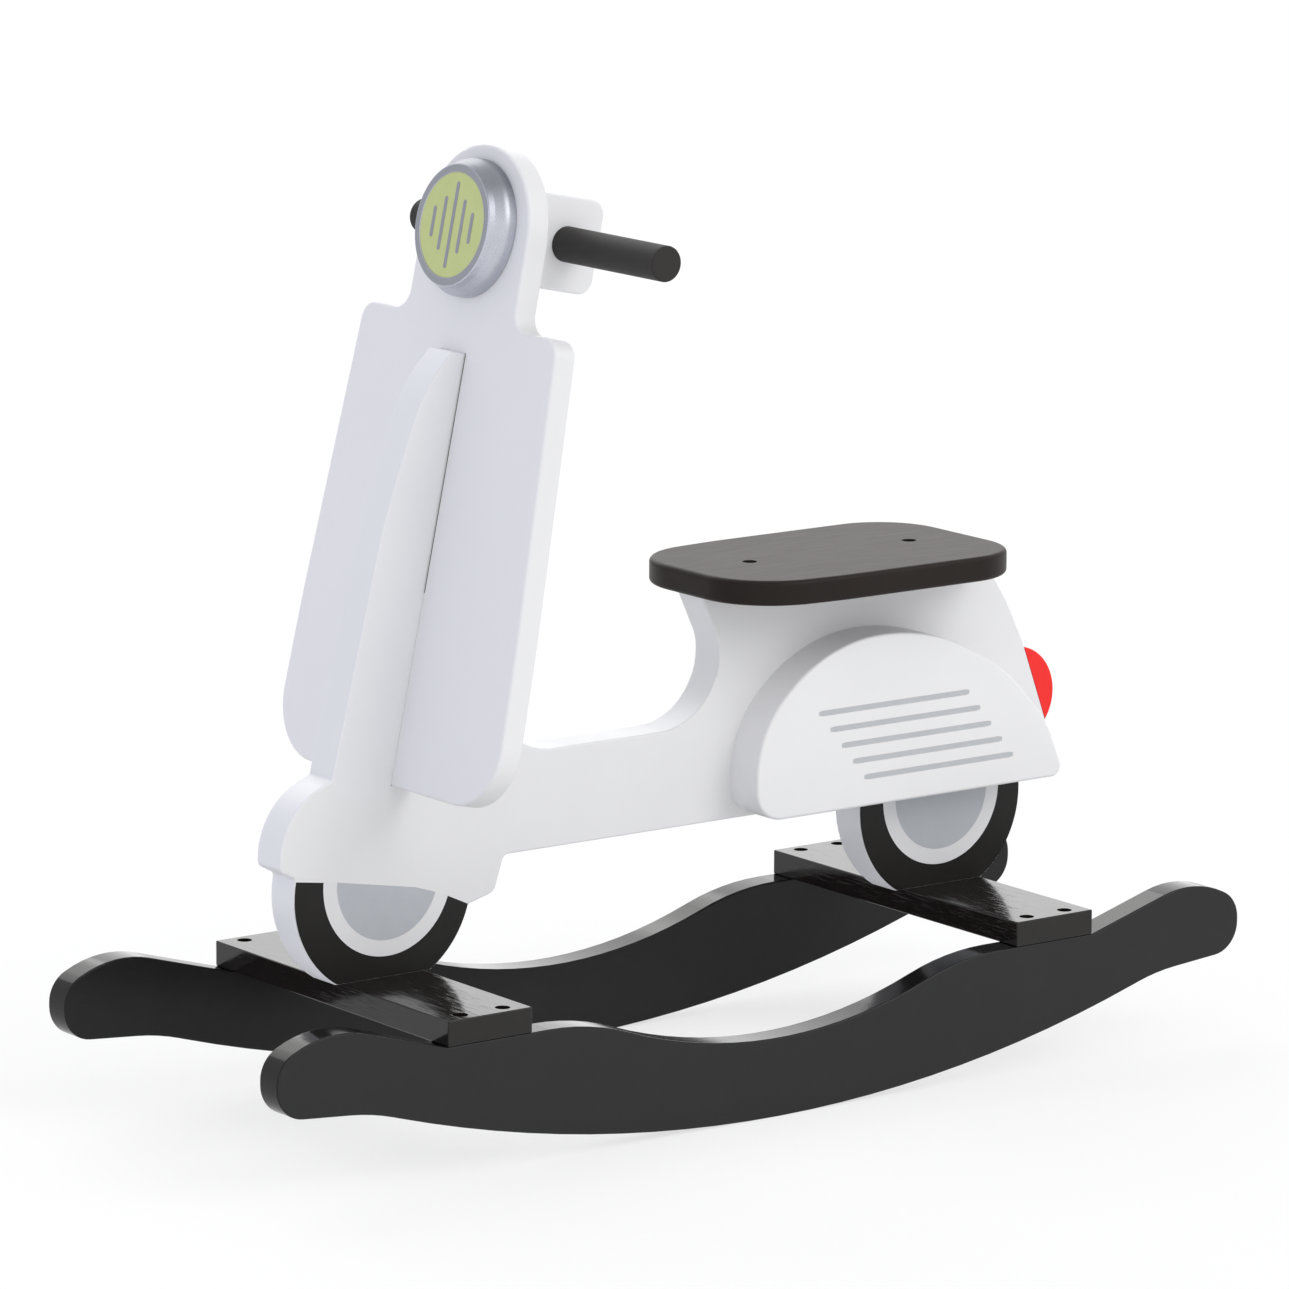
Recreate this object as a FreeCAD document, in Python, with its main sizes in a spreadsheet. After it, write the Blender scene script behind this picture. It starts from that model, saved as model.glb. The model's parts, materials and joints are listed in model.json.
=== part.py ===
"""Rocking motorcycle: a painted wooden scooter silhouette standing on two rockers.

Part frame in millimetres: +X is the scooter's front, +Y its left side, +Z up. The origin is on the
floor, midway between the rocker tips and midway between the two rockers. Every piece is drawn in a
frame of its own (the plank tops for the silhouette board, the leaning front face for the shield and
what hangs on it) and then placed in the part frame.
"""
import FreeCAD, Part

import math
import os
import re

import Sketcher
from FreeCAD import Placement, Rotation, Vector

SIZES = [
    # rockers: two boards on edge, with an arc to roll on and a flat for each crosspiece
    ("rocker_length", 745.0, "tip to tip"),
    ("rocker_thick", 19.0, "board thickness"),
    ("rocker_round", 1.0, "rounding of the long edges"),
    ("rock_radius", 975.0, "radius of the rolling arc"),
    ("rock_span", 570.0, "length of the rolling arc along the floor"),
    ("toe_run", 20.0, "straight run from the arc's end to the toe's corner"),
    ("toe_slope", 4.75, "slope of the toe's underside in degrees"),
    ("toe_ease", 150.0, "radius between the arc and the toe"),
    ("tip_round", 20.0, "radius of the two corners of a tip"),
    ("tip_rise", 6.7, "upper tip corner above the plank seats"),
    ("horn_back", 36.7, "horn's crest behind the tip"),
    ("horn_rise", 24.5, "horn's crest corner above the plank seats"),
    ("horn_round", 70.0, "radius of the horn's crest"),
    ("seat_height", 81.0, "plank seat above the floor"),
    ("belly_drop", 52.1, "corner of the sagging top edge below the plank seats"),
    ("belly_half", 144.6, "half length of the sagging top edge, corner to corner"),
    ("belly_round", 340.0, "radius of the sag"),
    ("belly_ease", 176.0, "radius between the sag and a plank seat"),
    # crosspieces
    ("plank_length", 252.5, "length, the width over both rockers"),
    ("plank_width", 61.6, "width"),
    ("plank_thick", 16.0, "board thickness"),
    ("plank_round", 0.8, "rounding of the edges"),
    ("plank_offset", 219.0, "middle of a plank from the middle of the rocker"),
    ("plank_play", 0.6, "room between a plank's edge and the rise of the horn"),
    ("rocker_screw_pitch", 31.0, "spacing of the two screws into one rocker"),
    ("wheel_screw_pitch", 28.0, "spacing of the two screws into one wheel"),
    # silhouette board
    ("body_thick", 25.0, "board thickness"),
    ("body_round", 1.2, "rounding of the outline"),
    ("wheel_corner", 3.0, "radius of the corners between wheels and board"),
    ("wheel_radius", 66.0, "both wheels"),
    ("wheel_height", 55.5, "wheel centres above the plank tops"),
    ("front_wheel_x", 218.2, "front wheel centre"),
    ("rear_wheel_x", 216.0, "rear wheel centre behind the middle"),
    ("deck_top", 127.0, "deck above the plank tops"),
    ("deck_depth", 62.4, "deck's depth"),
    ("fender_lip", 9.8, "front fender beyond the wheel"),
    ("fender_height", 56.3, "fender's front corner above the wheel centre"),
    ("fender_round", 49.0, "radius of the fender's front"),
    ("fender_top_x", 37.8, "fin's foot ahead of the wheel centre"),
    ("lip_height", 20.1, "lip's lower corner above the wheel centre"),
    ("lip_round", 5.0, "radius of the lip"),
    ("skirt_drop", 22.4, "skirt behind the front wheel, below the deck"),
    ("skirt_gap", 90.2, "skirt's foot behind the front wheel centre"),
    ("skirt_round", 7.0, "radius of the skirt's corner"),
    ("skirt_top_round", 5.0, "radius between deck and skirt"),
    ("skirt_run", 7.4, "slope of the skirt, foot ahead of its top"),
    ("join_back", 20.0, "start of the outline inside the front wheel, behind its centre"),
    ("join_drop", 30.0, "that start below the wheel centre"),
    ("join_ahead", 42.0, "next point inside the wheel, ahead of its centre"),
    ("join_rise", 2.0, "that point above the wheel centre"),
    ("fin_bend_x", 1.6, "bend of the fin's front edge behind the wheel centre"),
    ("fin_bend_rise", 158.0, "bend of the fin's front edge above the deck"),
    ("fin_bend_round", 400.0, "radius of that bend"),
    ("fin_foot_round", 3.0, "radius between fin and front fender"),
    ("fin_crest_out", 26.0, "crest of the fin's front edge ahead of the shield"),
    ("fin_crest_drop", 25.4, "that crest below the fin's top"),
    ("fin_crest_round", 110.0, "radius of the crest"),
    ("fin_top_out", 9.5, "fin's top corner ahead of the shield"),
    ("fin_top_round", 3.0, "radius of the fin's top corner"),
    ("column_deep", 34.0, "column behind the shield, at its top"),
    ("column_foot", 45.0, "column behind the shield, at the deck"),
    ("column_round", 22.0, "radius of the column's top corner"),
    ("footwell_front", 50.0, "radius between column and deck"),
    ("footwell_rear", 46.0, "radius between deck and riser"),
    ("riser_x", 36.8, "riser's front edge behind the middle"),
    ("riser_bend", 52.0, "bend of the riser above the deck"),
    ("riser_bend_round", 28.0, "radius of that bend"),
    ("riser_top", 82.0, "seat's underside above the deck"),
    ("riser_top_x", 22.8, "riser's front edge at the seat, behind the middle"),
    ("tail_top_x", 250.4, "tail's edge at the seat, behind the middle"),
    ("tail_top_round", 25.0, "radius of the tail's top corner"),
    ("tail_swell_x", 270.9, "swell of the tail's edge above the lamp, behind the middle"),
    ("tail_swell_rise", 49.9, "that swell above the deck"),
    ("tail_swell_round", 120.0, "radius of that swell"),
    ("tail_bend_x", 283.2, "upper end of the tail lamp's flat, behind the middle"),
    ("tail_bend_rise", 24.5, "upper end of the tail lamp's flat above the deck"),
    ("tail_bend_round", 12.0, "radius at that end"),
    ("tail_low_x", 306.6, "lower end of the tail lamp's flat, behind the middle"),
    ("tail_low_drop", 38.5, "lower end of the tail lamp's flat below the deck"),
    ("tail_low_round", 30.0, "radius at that end"),
    ("tail_end_x", 308.0, "tail's lower corner behind the middle"),
    ("tail_end_round", 9.0, "radius of the tail's lower corner"),
    # front shield
    ("lean", 12.0, "lean towards the rear in degrees"),
    ("shield_x", 213.0, "foot of the shield's front face"),
    ("shield_foot", 118.5, "foot of the shield above the plank tops"),
    ("shield_thick", 16.0, "board thickness"),
    ("shield_round", 2.0, "rounding of the outline"),
    ("shield_half", 118.5, "half width at the foot's corner"),
    ("shield_foot_round", 40.0, "radius of the foot's corner"),
    ("shield_waist", 114.4, "half width at the bend of the side"),
    ("shield_waist_rise", 100.0, "height of that bend"),
    ("shield_waist_round", 600.0, "radius of that bend"),
    ("shoulder_half", 101.4, "half width at the shoulder"),
    ("shoulder_rise", 286.3, "height of the shoulder"),
    ("shoulder_round", 12.0, "radius of the shoulder"),
    ("neck_round", 13.0, "radius between shoulder and head"),
    ("head_half", 55.6, "half width and radius of the head"),
    ("head_top", 394.2, "height of the head"),
    ("slot_top", 267.0, "height of the slot for the silhouette board"),
    ("slot_play", 0.1, "room on each side of the board and above it"),
    ("slot_ease", 0.9, "room on each side of the board in the slot's upper part"),
    ("slot_ease_foot", 119.5, "height at which that wider part starts"),
    # cleats between shield and column
    ("cleat_side", 18.0, "square section"),
    ("cleat_foot", 70.0, "lower end above the shield's foot"),
    ("cleat_length", 150.0, "length"),
    ("cleat_pitch", 100.0, "spacing of the screws into the shield"),
    ("cleat_step", 60.0, "spacing of the screws into the board"),
    # handles and their block
    ("block_deep", 60.7, "block behind the shield"),
    ("block_high", 58.4, "block's height"),
    ("block_wide", 50.0, "block's width"),
    ("block_corner", 10.0, "radius of the block's rear corners"),
    ("block_round", 1.5, "rounding of the block's outline"),
    ("lamp_rise", 342.2, "headlamp and handles above the shield's foot"),
    ("grip_back", 36.0, "handles' axis behind the shield's rear face"),
    ("grip_radius", 11.0, "radius of a handle"),
    ("grip_span", 254.0, "from one handle's end to the other's"),
    ("grip_round", 1.2, "rounding of the handles' ends"),
    ("tenon_radius", 8.0, "radius of the tenon that joins a handle to the block"),
    ("tenon_length", 22.0, "length of that tenon"),
    ("block_pitch_y", 28.0, "spacing of the block's screws across"),
    ("block_pitch_z", 40.0, "spacing of the block's screws upwards"),
    # headlamp
    ("bezel_radius", 42.5, "bezel's largest radius"),
    ("bezel_wall", 7.0, "corner of its bulge ahead of the shield"),
    ("bezel_bulge", 8.0, "radius of its bulge"),
    ("bezel_step", 13.5, "foot of the raised ring ahead of the shield"),
    ("bezel_step_radius", 38.9, "radius at that foot"),
    ("bezel_cove", 2.2, "radius of the cove there"),
    ("bezel_ring", 37.4, "radius of the raised ring"),
    ("bezel_ring_round", 1.0, "rounding of the raised ring"),
    ("bezel_front", 17.5, "raised ring ahead of the shield"),
    ("bezel_foot_round", 0.8, "rounding where it meets the shield"),
    ("bezel_mouth_round", 0.5, "rounding of the ring's inner edge"),
    ("lens_radius", 32.1, "lamp face"),
    ("lens_thick", 3.0, "lamp face"),
    ("lens_front", 17.2, "lamp face ahead of the shield"),
    # seat
    ("seat_front_x", 19.0, "front end behind the middle"),
    ("seat_length", 223.5, "length"),
    ("seat_thick", 16.0, "board thickness"),
    ("seat_half", 72.5, "half width"),
    ("seat_nose_half", 66.0, "half width at the front"),
    ("seat_nose_run", 74.0, "length over which the front narrows"),
    ("seat_nose_round", 200.0, "radius where the sides start to narrow"),
    ("seat_nose_corner", 49.0, "radius of the front corners"),
    ("seat_corner", 44.0, "radius of the rear corners"),
    ("seat_round", 3.0, "rounding of the edges"),
    ("seat_screw_x", 134.0, "middle of the two seat screws behind the middle"),
    ("seat_screw_pitch", 128.0, "spacing of the two seat screws"),
    ("seat_dowel_pitch", 180.0, "spacing of the two seat dowels"),
    # cowls
    ("cowl_thick", 28.0, "thickness of each side cowl"),
    ("cowl_round", 2.0, "rounding of the outline"),
    ("cowl_foot", 66.3, "flat foot above the plank tops"),
    ("cowl_height", 110.0, "height above its foot"),
    ("cowl_nose_x", 46.6, "front end behind the middle"),
    ("cowl_nose_rise", 57.7, "corner of the nose above the foot"),
    ("cowl_nose_round", 72.0, "radius of the nose"),
    ("cowl_foot_round", 20.0, "radius of the front foot corner"),
    ("cowl_brow_x", 102.9, "front corner of the top behind the middle"),
    ("cowl_brow_round", 108.0, "radius of that corner"),
    ("cowl_crown_x", 183.1, "rear corner of the top behind the middle"),
    ("cowl_crown_round", 147.0, "radius of that corner"),
    ("cowl_back_x", 245.0, "corner of the falling back behind the middle"),
    ("cowl_back_rise", 77.8, "that corner above the foot"),
    ("cowl_back_round", 118.0, "radius of that corner"),
    ("cowl_heel_x", 280.5, "corner above the rear tip behind the middle"),
    ("cowl_heel_rise", 40.2, "that corner above the foot"),
    ("cowl_heel_round", 76.0, "radius of that corner"),
    ("cowl_tail_x", 297.1, "corner of the rear tip behind the middle"),
    ("cowl_tip_round", 7.0, "radius of the rear tip"),
    ("cowl_dowel_x", 162.0, "middle of the cowl dowels behind the middle"),
    ("cowl_low_pitch", 150.0, "spacing of the two lower dowels"),
    ("cowl_low_rise", 28.0, "lower dowels above the foot"),
    ("cowl_high_pitch", 84.0, "spacing of the two upper dowels"),
    ("cowl_high_rise", 78.0, "upper dowels above the foot"),
    # tail lamp
    ("lamp_radius", 31.8, "radius of the tail lamp's rim"),
    ("lamp_sag", 14.4, "depth of the tail lamp"),
    ("lamp_drop", 30.9, "middle of the tail lamp below the upper end of its flat"),
    ("lamp_round", 1.2, "rounding of the tail lamp's rim"),
    ("lamp_dowel_pitch", 24.0, "spacing of its dowels"),
    # screws and dowels
    ("least_straight", 1.0, "straight left between two roundings of an outline"),
    ("fit", 0.05, "radial play of every screw and dowel in its hole"),
    ("tip_play", 1.0, "room under the tip of every screw and dowel"),
    ("head_radius", 4.3, "screw head"),
    ("head_high", 3.4, "screw head"),
    ("head_play", 0.4, "room round a screw head"),
    ("head_sink", 6.0, "depth of the holes that take the heads"),
    ("socket_radius", 2.1, "corner radius of the hexagon socket"),
    ("socket_deep", 2.2, "depth of the hexagon socket"),
    ("shank_radius", 2.4, "screw shank"),
    ("screw_tip", 1.4, "bevel of a screw's tip"),
    ("rocker_screw", 50.0, "length of the screws into the rockers"),
    ("wheel_screw", 60.0, "length of the screws into the wheels"),
    ("seat_screw", 50.0, "length of the screws into the riser"),
    ("block_screw", 40.0, "length of the screws into the block"),
    ("lens_screw", 30.0, "length of the screw behind the lamp face"),
    ("handle_screw", 24.0, "length of the screws that hold the tenons"),
    ("cleat_screw", 24.0, "length of the screws through the cleats"),
    ("dowel_radius", 4.0, "wooden dowels of seat and cowls"),
    ("seat_dowel", 30.0, "length of the seat dowels"),
    ("seat_dowel_in", 10.0, "depth of the seat dowels in the seat"),
    ("cowl_dowel_in", 18.0, "depth of a cowl dowel in each cowl"),
    ("lamp_dowel_radius", 3.0, "tail lamp dowels"),
    ("lamp_dowel", 18.0, "length of the tail lamp dowels"),
    ("lamp_dowel_in", 8.0, "depth of its dowels in the tail lamp"),
]

doc = FreeCAD.newDocument("RockingMotorcycle")
sheet = doc.addObject("Spreadsheet::Sheet", "Sizes")
for row, (alias, number, meaning) in enumerate(SIZES, start=1):
    sheet.set("A%d" % row, alias)
    sheet.set("B%d" % row, str(number))
    sheet.set("C%d" % row, meaning)
    sheet.setAlias("B%d" % row, alias)
doc.recompute()

ALIASES = {alias for alias, number, meaning in SIZES}
PARTS = []
NEAR = 1e-3  # millimetres within which two places are taken for one


def size(alias):
    """The value of one named cell, in millimetres or degrees."""
    return float(getattr(sheet, alias))


def bind(thing, path, formula):
    """Tie a property to a formula written with the sheet's aliases."""

    def cell(match):
        word = match.group()
        return "Sizes." + word if word in ALIASES else word

    thing.setExpression(path, re.sub(r"[a-z_]+", cell, formula))


# Helpers for bodies and sketches
def new_body(label):
    body = doc.addObject("PartDesign::Body", label)
    body.Label = label
    PARTS.append(body)
    return body


def new_sketch(body, name, plane, lift=None):
    """A sketch on one of the body's own origin planes, lifted along its normal by a formula.

    Instead of one formula, lift may hold three for a sketch on the XY plane: its x and z and the
    angle by which it is turned about the Y axis.
    """
    sketch = body.newObject("Sketcher::SketchObject", name)
    support = [item for item in body.Origin.OriginFeatures if item.Role == plane][0]
    sketch.AttachmentSupport = (support, [""])
    sketch.MapMode = "FlatFace"
    if isinstance(lift, tuple):
        sketch.AttachmentOffset = Placement(Vector(0, 0, 0), Rotation(Vector(0, 1, 0), 1))
        bind(sketch, "AttachmentOffset.Base.x", lift[0])
        bind(sketch, "AttachmentOffset.Base.z", lift[1])
        bind(sketch, "AttachmentOffset.Rotation.Angle", lift[2])
    elif lift is not None:
        bind(sketch, "AttachmentOffset.Base.z", lift)
    return sketch


def rounded(corners):
    """Lines and tangent arcs of the closed outline whose corners are (x, y, radius).

    Where two roundings would meet on one side, both are limited to leave some of it straight.
    """
    count = len(corners)
    points = [Vector(x, y, 0) for x, y, radius in corners]
    radii = [radius for x, y, radius in corners]
    to_next = [(points[(i + 1) % count] - points[i]).normalize() for i in range(count)]
    halves = [to_next[i].getAngle(to_next[i - 1] * -1) / 2 for i in range(count)]
    for i in range(count):
        j = (i + 1) % count
        reach = radii[i] / math.tan(halves[i]) + radii[j] / math.tan(halves[j])
        room = (points[j] - points[i]).Length - size("least_straight")
        if reach > room:
            radii[i] *= room / reach
            radii[j] *= room / reach
    arcs = []
    ends = []
    for i in range(count):
        reach = radii[i] / math.tan(halves[i])
        before = points[i] - to_next[i - 1] * reach
        after = points[i] + to_next[i] * reach
        ends.append((before, after))
        if radii[i] == 0:
            arcs.append(None)
            continue
        inward = (to_next[i] - to_next[i - 1]).normalize()
        centre = points[i] + inward * (radii[i] / math.sin(halves[i]))
        arcs.append(arc_between(centre, radii[i], before, after))
    shapes = []
    for i in range(count):
        if arcs[i] is not None:
            shapes.append(arcs[i])
        shapes.append(Part.LineSegment(ends[i][1], ends[(i + 1) % count][0]))
    return shapes


def arc_between(centre, radius, first, last):
    """The shorter arc round a centre between two of its points, drawn anticlockwise."""
    begin = math.atan2(first.y - centre.y, first.x - centre.x)
    finish = math.atan2(last.y - centre.y, last.x - centre.x)
    if (finish - begin) % (2 * math.pi) > math.pi:
        begin, finish = finish, begin
    if finish < begin:
        finish += 2 * math.pi
    return Part.ArcOfCircle(Part.Circle(centre, Vector(0, 0, 1), radius), begin, finish)


def draw(sketch, shapes):
    """Put ready shapes in a sketch and hold them where the sizes put them."""
    for shape in shapes:
        index = sketch.addGeometry(shape, False)
        sketch.addConstraint(Sketcher.Constraint("Block", index))


def rectangle(sketch, left, right, low, high):
    """A rectangle whose four sides are formulas; it is drawn as a square and then sized."""
    side = size("least_straight")
    points = [Vector(0, 0, 0), Vector(side, 0, 0), Vector(side, side, 0), Vector(0, side, 0)]
    for i in range(4):
        sketch.addGeometry(Part.LineSegment(points[i], points[(i + 1) % 4]), False)
    for i in range(4):
        sketch.addConstraint(Sketcher.Constraint("Coincident", i, 2, (i + 1) % 4, 1))
    for i, kind in enumerate(("Horizontal", "Vertical", "Horizontal", "Vertical")):
        sketch.addConstraint(Sketcher.Constraint(kind, i))
    for kind, line, formula in (("DistanceX", 0, left), ("DistanceY", 0, low),
                                ("DistanceX", 2, right), ("DistanceY", 2, high)):
        number = sketch.addConstraint(Sketcher.Constraint(kind, -1, 1, line, 1, 1.0))
        bind(sketch, "Constraints[%d]" % number, formula)


def circles(sketch, spots, radius):
    """Equal circles; each spot is a pair of formulas."""
    for i, (across, along) in enumerate(spots):
        sketch.addGeometry(Part.Circle(Vector(i, i, 0), Vector(0, 0, 1), 1), False)
        for kind, formula in (("DistanceX", across), ("DistanceY", along)):
            number = sketch.addConstraint(Sketcher.Constraint(kind, -1, 1, i, 3, 1.0))
            bind(sketch, "Constraints[%d]" % number, formula)
        number = sketch.addConstraint(Sketcher.Constraint("Radius", i, 1.0))
        bind(sketch, "Constraints[%d]" % number, radius)


def pad(body, sketch, name, length, side="Symmetric", flip=False):
    feature = body.newObject("PartDesign::Pad", name)
    feature.Profile = sketch
    feature.SideType = side
    feature.Reversed = flip
    bind(feature, "Length", length)
    doc.recompute()
    return feature


def cut(body, sketch, name, depth=None):
    """A pocket of one depth, or right through both ways; it has to remove something."""
    before = body.Shape.Volume
    feature = body.newObject("PartDesign::Pocket", name)
    feature.Profile = sketch
    if depth is None:
        feature.Type = "ThroughAll"
        feature.SideType = "Symmetric"
    else:
        bind(feature, "Length", depth)
    doc.recompute()
    if before - body.Shape.Volume < NEAR:
        feature.Reversed = True
        doc.recompute()
    if before - body.Shape.Volume < NEAR:
        raise ValueError("%s cuts nothing out of %s" % (name, body.Label))
    return feature


def drill(body, name, plane, lift, spots, radius, depth=None, flip=False):
    """Round holes of one depth; flip sends them along the plane's normal instead of against it."""
    sketch = new_sketch(body, name + "_circles", plane, lift)
    circles(sketch, spots, radius)
    before = body.Shape.Volume
    feature = body.newObject("PartDesign::Pocket", name)
    feature.Profile = sketch
    feature.Reversed = flip
    if depth is None:
        feature.Type = "ThroughAll"
        feature.SideType = "Symmetric"
    else:
        bind(feature, "Length", depth)
    doc.recompute()
    if before - body.Shape.Volume < NEAR:
        raise ValueError("%s cuts nothing out of %s" % (name, body.Label))
    return feature


def round_edges(body, name, radius, wanted):
    """Round the edges of the body's last feature that the test picks."""
    base = body.Tip
    edges = ["Edge%d" % (i + 1) for i, edge in enumerate(base.Shape.Edges) if wanted(edge)]
    feature = body.newObject("PartDesign::Fillet", name)
    feature.Base = (base, edges)
    bind(feature, "Radius", radius)
    doc.recompute()
    return feature


def flat_in(edge, axis, level):
    """True when an edge lies in the plane axis = level."""
    box = edge.BoundBox
    low = getattr(box, axis + "Min")
    high = getattr(box, axis + "Max")
    return abs(low - level) < NEAR and abs(high - level) < NEAR


def on_faces(axis, thickness, middle=0.0):
    """Picks the outline edges on the two broad faces of a board."""

    def wanted(edge):
        return (flat_in(edge, axis, middle - thickness / 2)
                or flat_in(edge, axis, middle + thickness / 2))

    return wanted


# Placing in the part frame
PLANK_TOP = "(seat_height + plank_thick)"


def place(body, x="0", y="0", z="0", axis=Vector(0, 1, 0), angle="0"):
    """Move a body by formulas and turn it about one axis."""
    body.Placement = Placement(Vector(0, 0, 0), Rotation(axis, 1))
    for letter, formula in (("x", x), ("y", y), ("z", z)):
        bind(body, "Placement.Base." + letter, formula)
    bind(body, "Placement.Rotation.Angle", angle)
    doc.recompute()


def place_on_shield(body, out="0", up="0", y="0", turn="0"):
    """Place by the distance ahead of the shield's front face and up along it from its foot.

    turn is added to the lean: 0 keeps +X square to the shield, 90 turns +Z towards the front
    and -90 turns +Z towards the rear.
    """
    place(body,
          x="shield_x + (%s) * cos(lean) - (%s) * sin(lean)" % (out, up),
          y=y,
          z=PLANK_TOP + " + shield_foot + (%s) * sin(lean) + (%s) * cos(lean)" % (out, up),
          angle="%s - lean" % turn)


def from_shield(out, up):
    """A point on the shield's frame, seen from the plank tops."""
    lean = math.radians(size("lean"))
    x = size("shield_x") + out * math.cos(lean) - up * math.sin(lean)
    z = size("shield_foot") + out * math.sin(lean) + up * math.cos(lean)
    return x, z


# Screws and dowels
def screws(label, spots, length, plane="XY_Plane", flip=True):
    """Equal socket screws, the tops of their heads on an origin plane.

    They point against the plane's normal, or along it when flip is False.
    """
    body = new_body(label)
    heads = new_sketch(body, "heads", plane)
    circles(heads, spots, "head_radius")
    pad(body, heads, "head", "head_high", side="One side", flip=flip)
    shanks = new_sketch(body, "shanks", plane)
    circles(shanks, spots, "shank_radius")
    shank = pad(body, shanks, "shank", length, side="One side", flip=flip)
    axis = "Y" if plane == "XZ_Plane" else "Z"
    toward = Vector(shanks.Placement.Rotation.multVec(Vector(0, 0, -1 if flip else 1)))
    reach = float(shank.Length) * (toward.y + toward.z)
    bevel = body.newObject("PartDesign::Chamfer", "tip")
    bevel.Base = (shank, ["Edge%d" % (i + 1) for i, edge in enumerate(shank.Shape.Edges)
                          if flat_in(edge, axis, reach)])
    bind(bevel, "Size", "screw_tip")
    doc.recompute()
    sockets = new_sketch(body, "sockets", plane)
    for circle in heads.Geometry:
        corners = [circle.Center + Vector(math.cos(k * math.pi / 3), math.sin(k * math.pi / 3), 0)
                   * size("socket_radius") for k in range(6)]
        draw(sockets, [Part.LineSegment(corners[k - 1], corners[k]) for k in range(6)])
    cut(body, sockets, "socket", "socket_deep")
    return body


def dowels(label, spots, radius, length):
    """Equal plain pins pointing down from height 0."""
    body = new_body(label)
    sketch = new_sketch(body, "pins", "XY_Plane")
    circles(sketch, spots, radius)
    pad(body, sketch, "pin", length, side="One side", flip=True)
    return body


def grid(pitch_x, pitch_y=None):
    """Spots at both ends of one pitch, or at the four corners of two."""
    if pitch_y is None:
        return [("-(%s) / 2" % pitch_x, "0"), ("(%s) / 2" % pitch_x, "0")]
    return [("%s(%s) / 2" % (a, pitch_x), "%s(%s) / 2" % (b, pitch_y))
            for a in ("-", "") for b in ("-", "")]


SHANK_HOLE = "shank_radius + fit"
HEAD_HOLE = "head_radius + head_play"
UNDER_HEAD = "(head_sink - head_high)"


# Rockers
def rocker_outline():
    """Tip, horn, plank seat and sag on one half, then the same mirrored, above the floor."""
    radius = size("rock_radius")
    half_span = size("rock_span") / 2
    roll = math.asin(half_span / radius)
    end_z = radius - radius * math.cos(roll)
    seat = size("seat_height")
    tip_x = size("rocker_length") / 2
    toe_x = half_span + size("toe_run") * math.cos(roll)
    toe_z = end_z + size("toe_run") * math.sin(roll)
    tip_z = toe_z + (tip_x - toe_x) * math.tan(math.radians(size("toe_slope")))
    stop_x = size("plank_offset") + size("plank_width") / 2 + size("plank_play")
    half = [
        (toe_x, toe_z, size("toe_ease")),
        (tip_x, tip_z, size("tip_round")),
        (tip_x, seat + size("tip_rise"), size("tip_round")),
        (tip_x - size("horn_back"), seat + size("horn_rise"), size("horn_round")),
        (stop_x, seat, 0),
        (size("belly_half"), seat, size("belly_ease")),
    ]
    mirrored = [(-x, z, r) for x, z, r in reversed(half)]
    arc_corner = (0, end_z - half_span * math.tan(roll), radius)
    sag_corner = (0, seat - size("belly_drop"), size("belly_round"))
    return [arc_corner] + half + [sag_corner] + mirrored


def make_rocker(label, side):
    body = new_body(label)
    sketch = new_sketch(body, "outline", "XZ_Plane")
    draw(sketch, rounded(rocker_outline()))
    pad(body, sketch, "board", "rocker_thick")
    round_edges(body, "long_edges", "rocker_round", on_faces("Y", size("rocker_thick")))
    for end, name in (("", "front"), ("-", "rear")):
        spots = [("%splank_offset %s rocker_screw_pitch / 2" % (end, sign), "0")
                 for sign in ("-", "+")]
        drill(body, name + "_screw_holes", "XY_Plane", "seat_height", spots, SHANK_HOLE,
              "rocker_screw + head_sink - head_high - plank_thick + tip_play")
    place(body, y="%s(plank_length - rocker_thick) / 2" % side)


make_rocker("rocker_left", "")
make_rocker("rocker_right", "-")


# Crosspieces
def make_plank(label, end):
    """A flat board across both rockers: two sunk screws at each end, two from below."""
    body = new_body(label)
    sketch = new_sketch(body, "outline", "XY_Plane")
    rectangle(sketch, "-plank_width / 2", "plank_width / 2", "-plank_length / 2", "plank_length / 2")
    pad(body, sketch, "board", "plank_thick", side="One side", flip=True)
    round_edges(body, "edges", "plank_round", lambda edge: True)
    over_rockers = grid("rocker_screw_pitch", "plank_length - rocker_thick")
    drill(body, "rocker_heads", "XY_Plane", "0", over_rockers, HEAD_HOLE, "head_sink")
    drill(body, "rocker_shanks", "XY_Plane", "0", over_rockers, SHANK_HOLE, "plank_thick")
    under_wheel = grid("wheel_screw_pitch")
    drill(body, "wheel_heads", "XY_Plane", "-plank_thick", under_wheel, HEAD_HOLE, "head_sink",
          flip=True)
    drill(body, "wheel_shanks", "XY_Plane", "0", under_wheel, SHANK_HOLE, "plank_thick")
    place(body, x="%splank_offset" % end, z=PLANK_TOP)

    top_screws = screws(label.replace("plank", "rocker_screws"), over_rockers, "rocker_screw")
    place(top_screws, x="%splank_offset" % end, z=PLANK_TOP + " - " + UNDER_HEAD)
    low_screws = screws(label.replace("plank", "wheel_screws"), under_wheel, "wheel_screw")
    place(low_screws, x="%splank_offset" % end, z="seat_height + " + UNDER_HEAD, angle="180")


make_plank("front_plank", "")
make_plank("rear_plank", "-")


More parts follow.
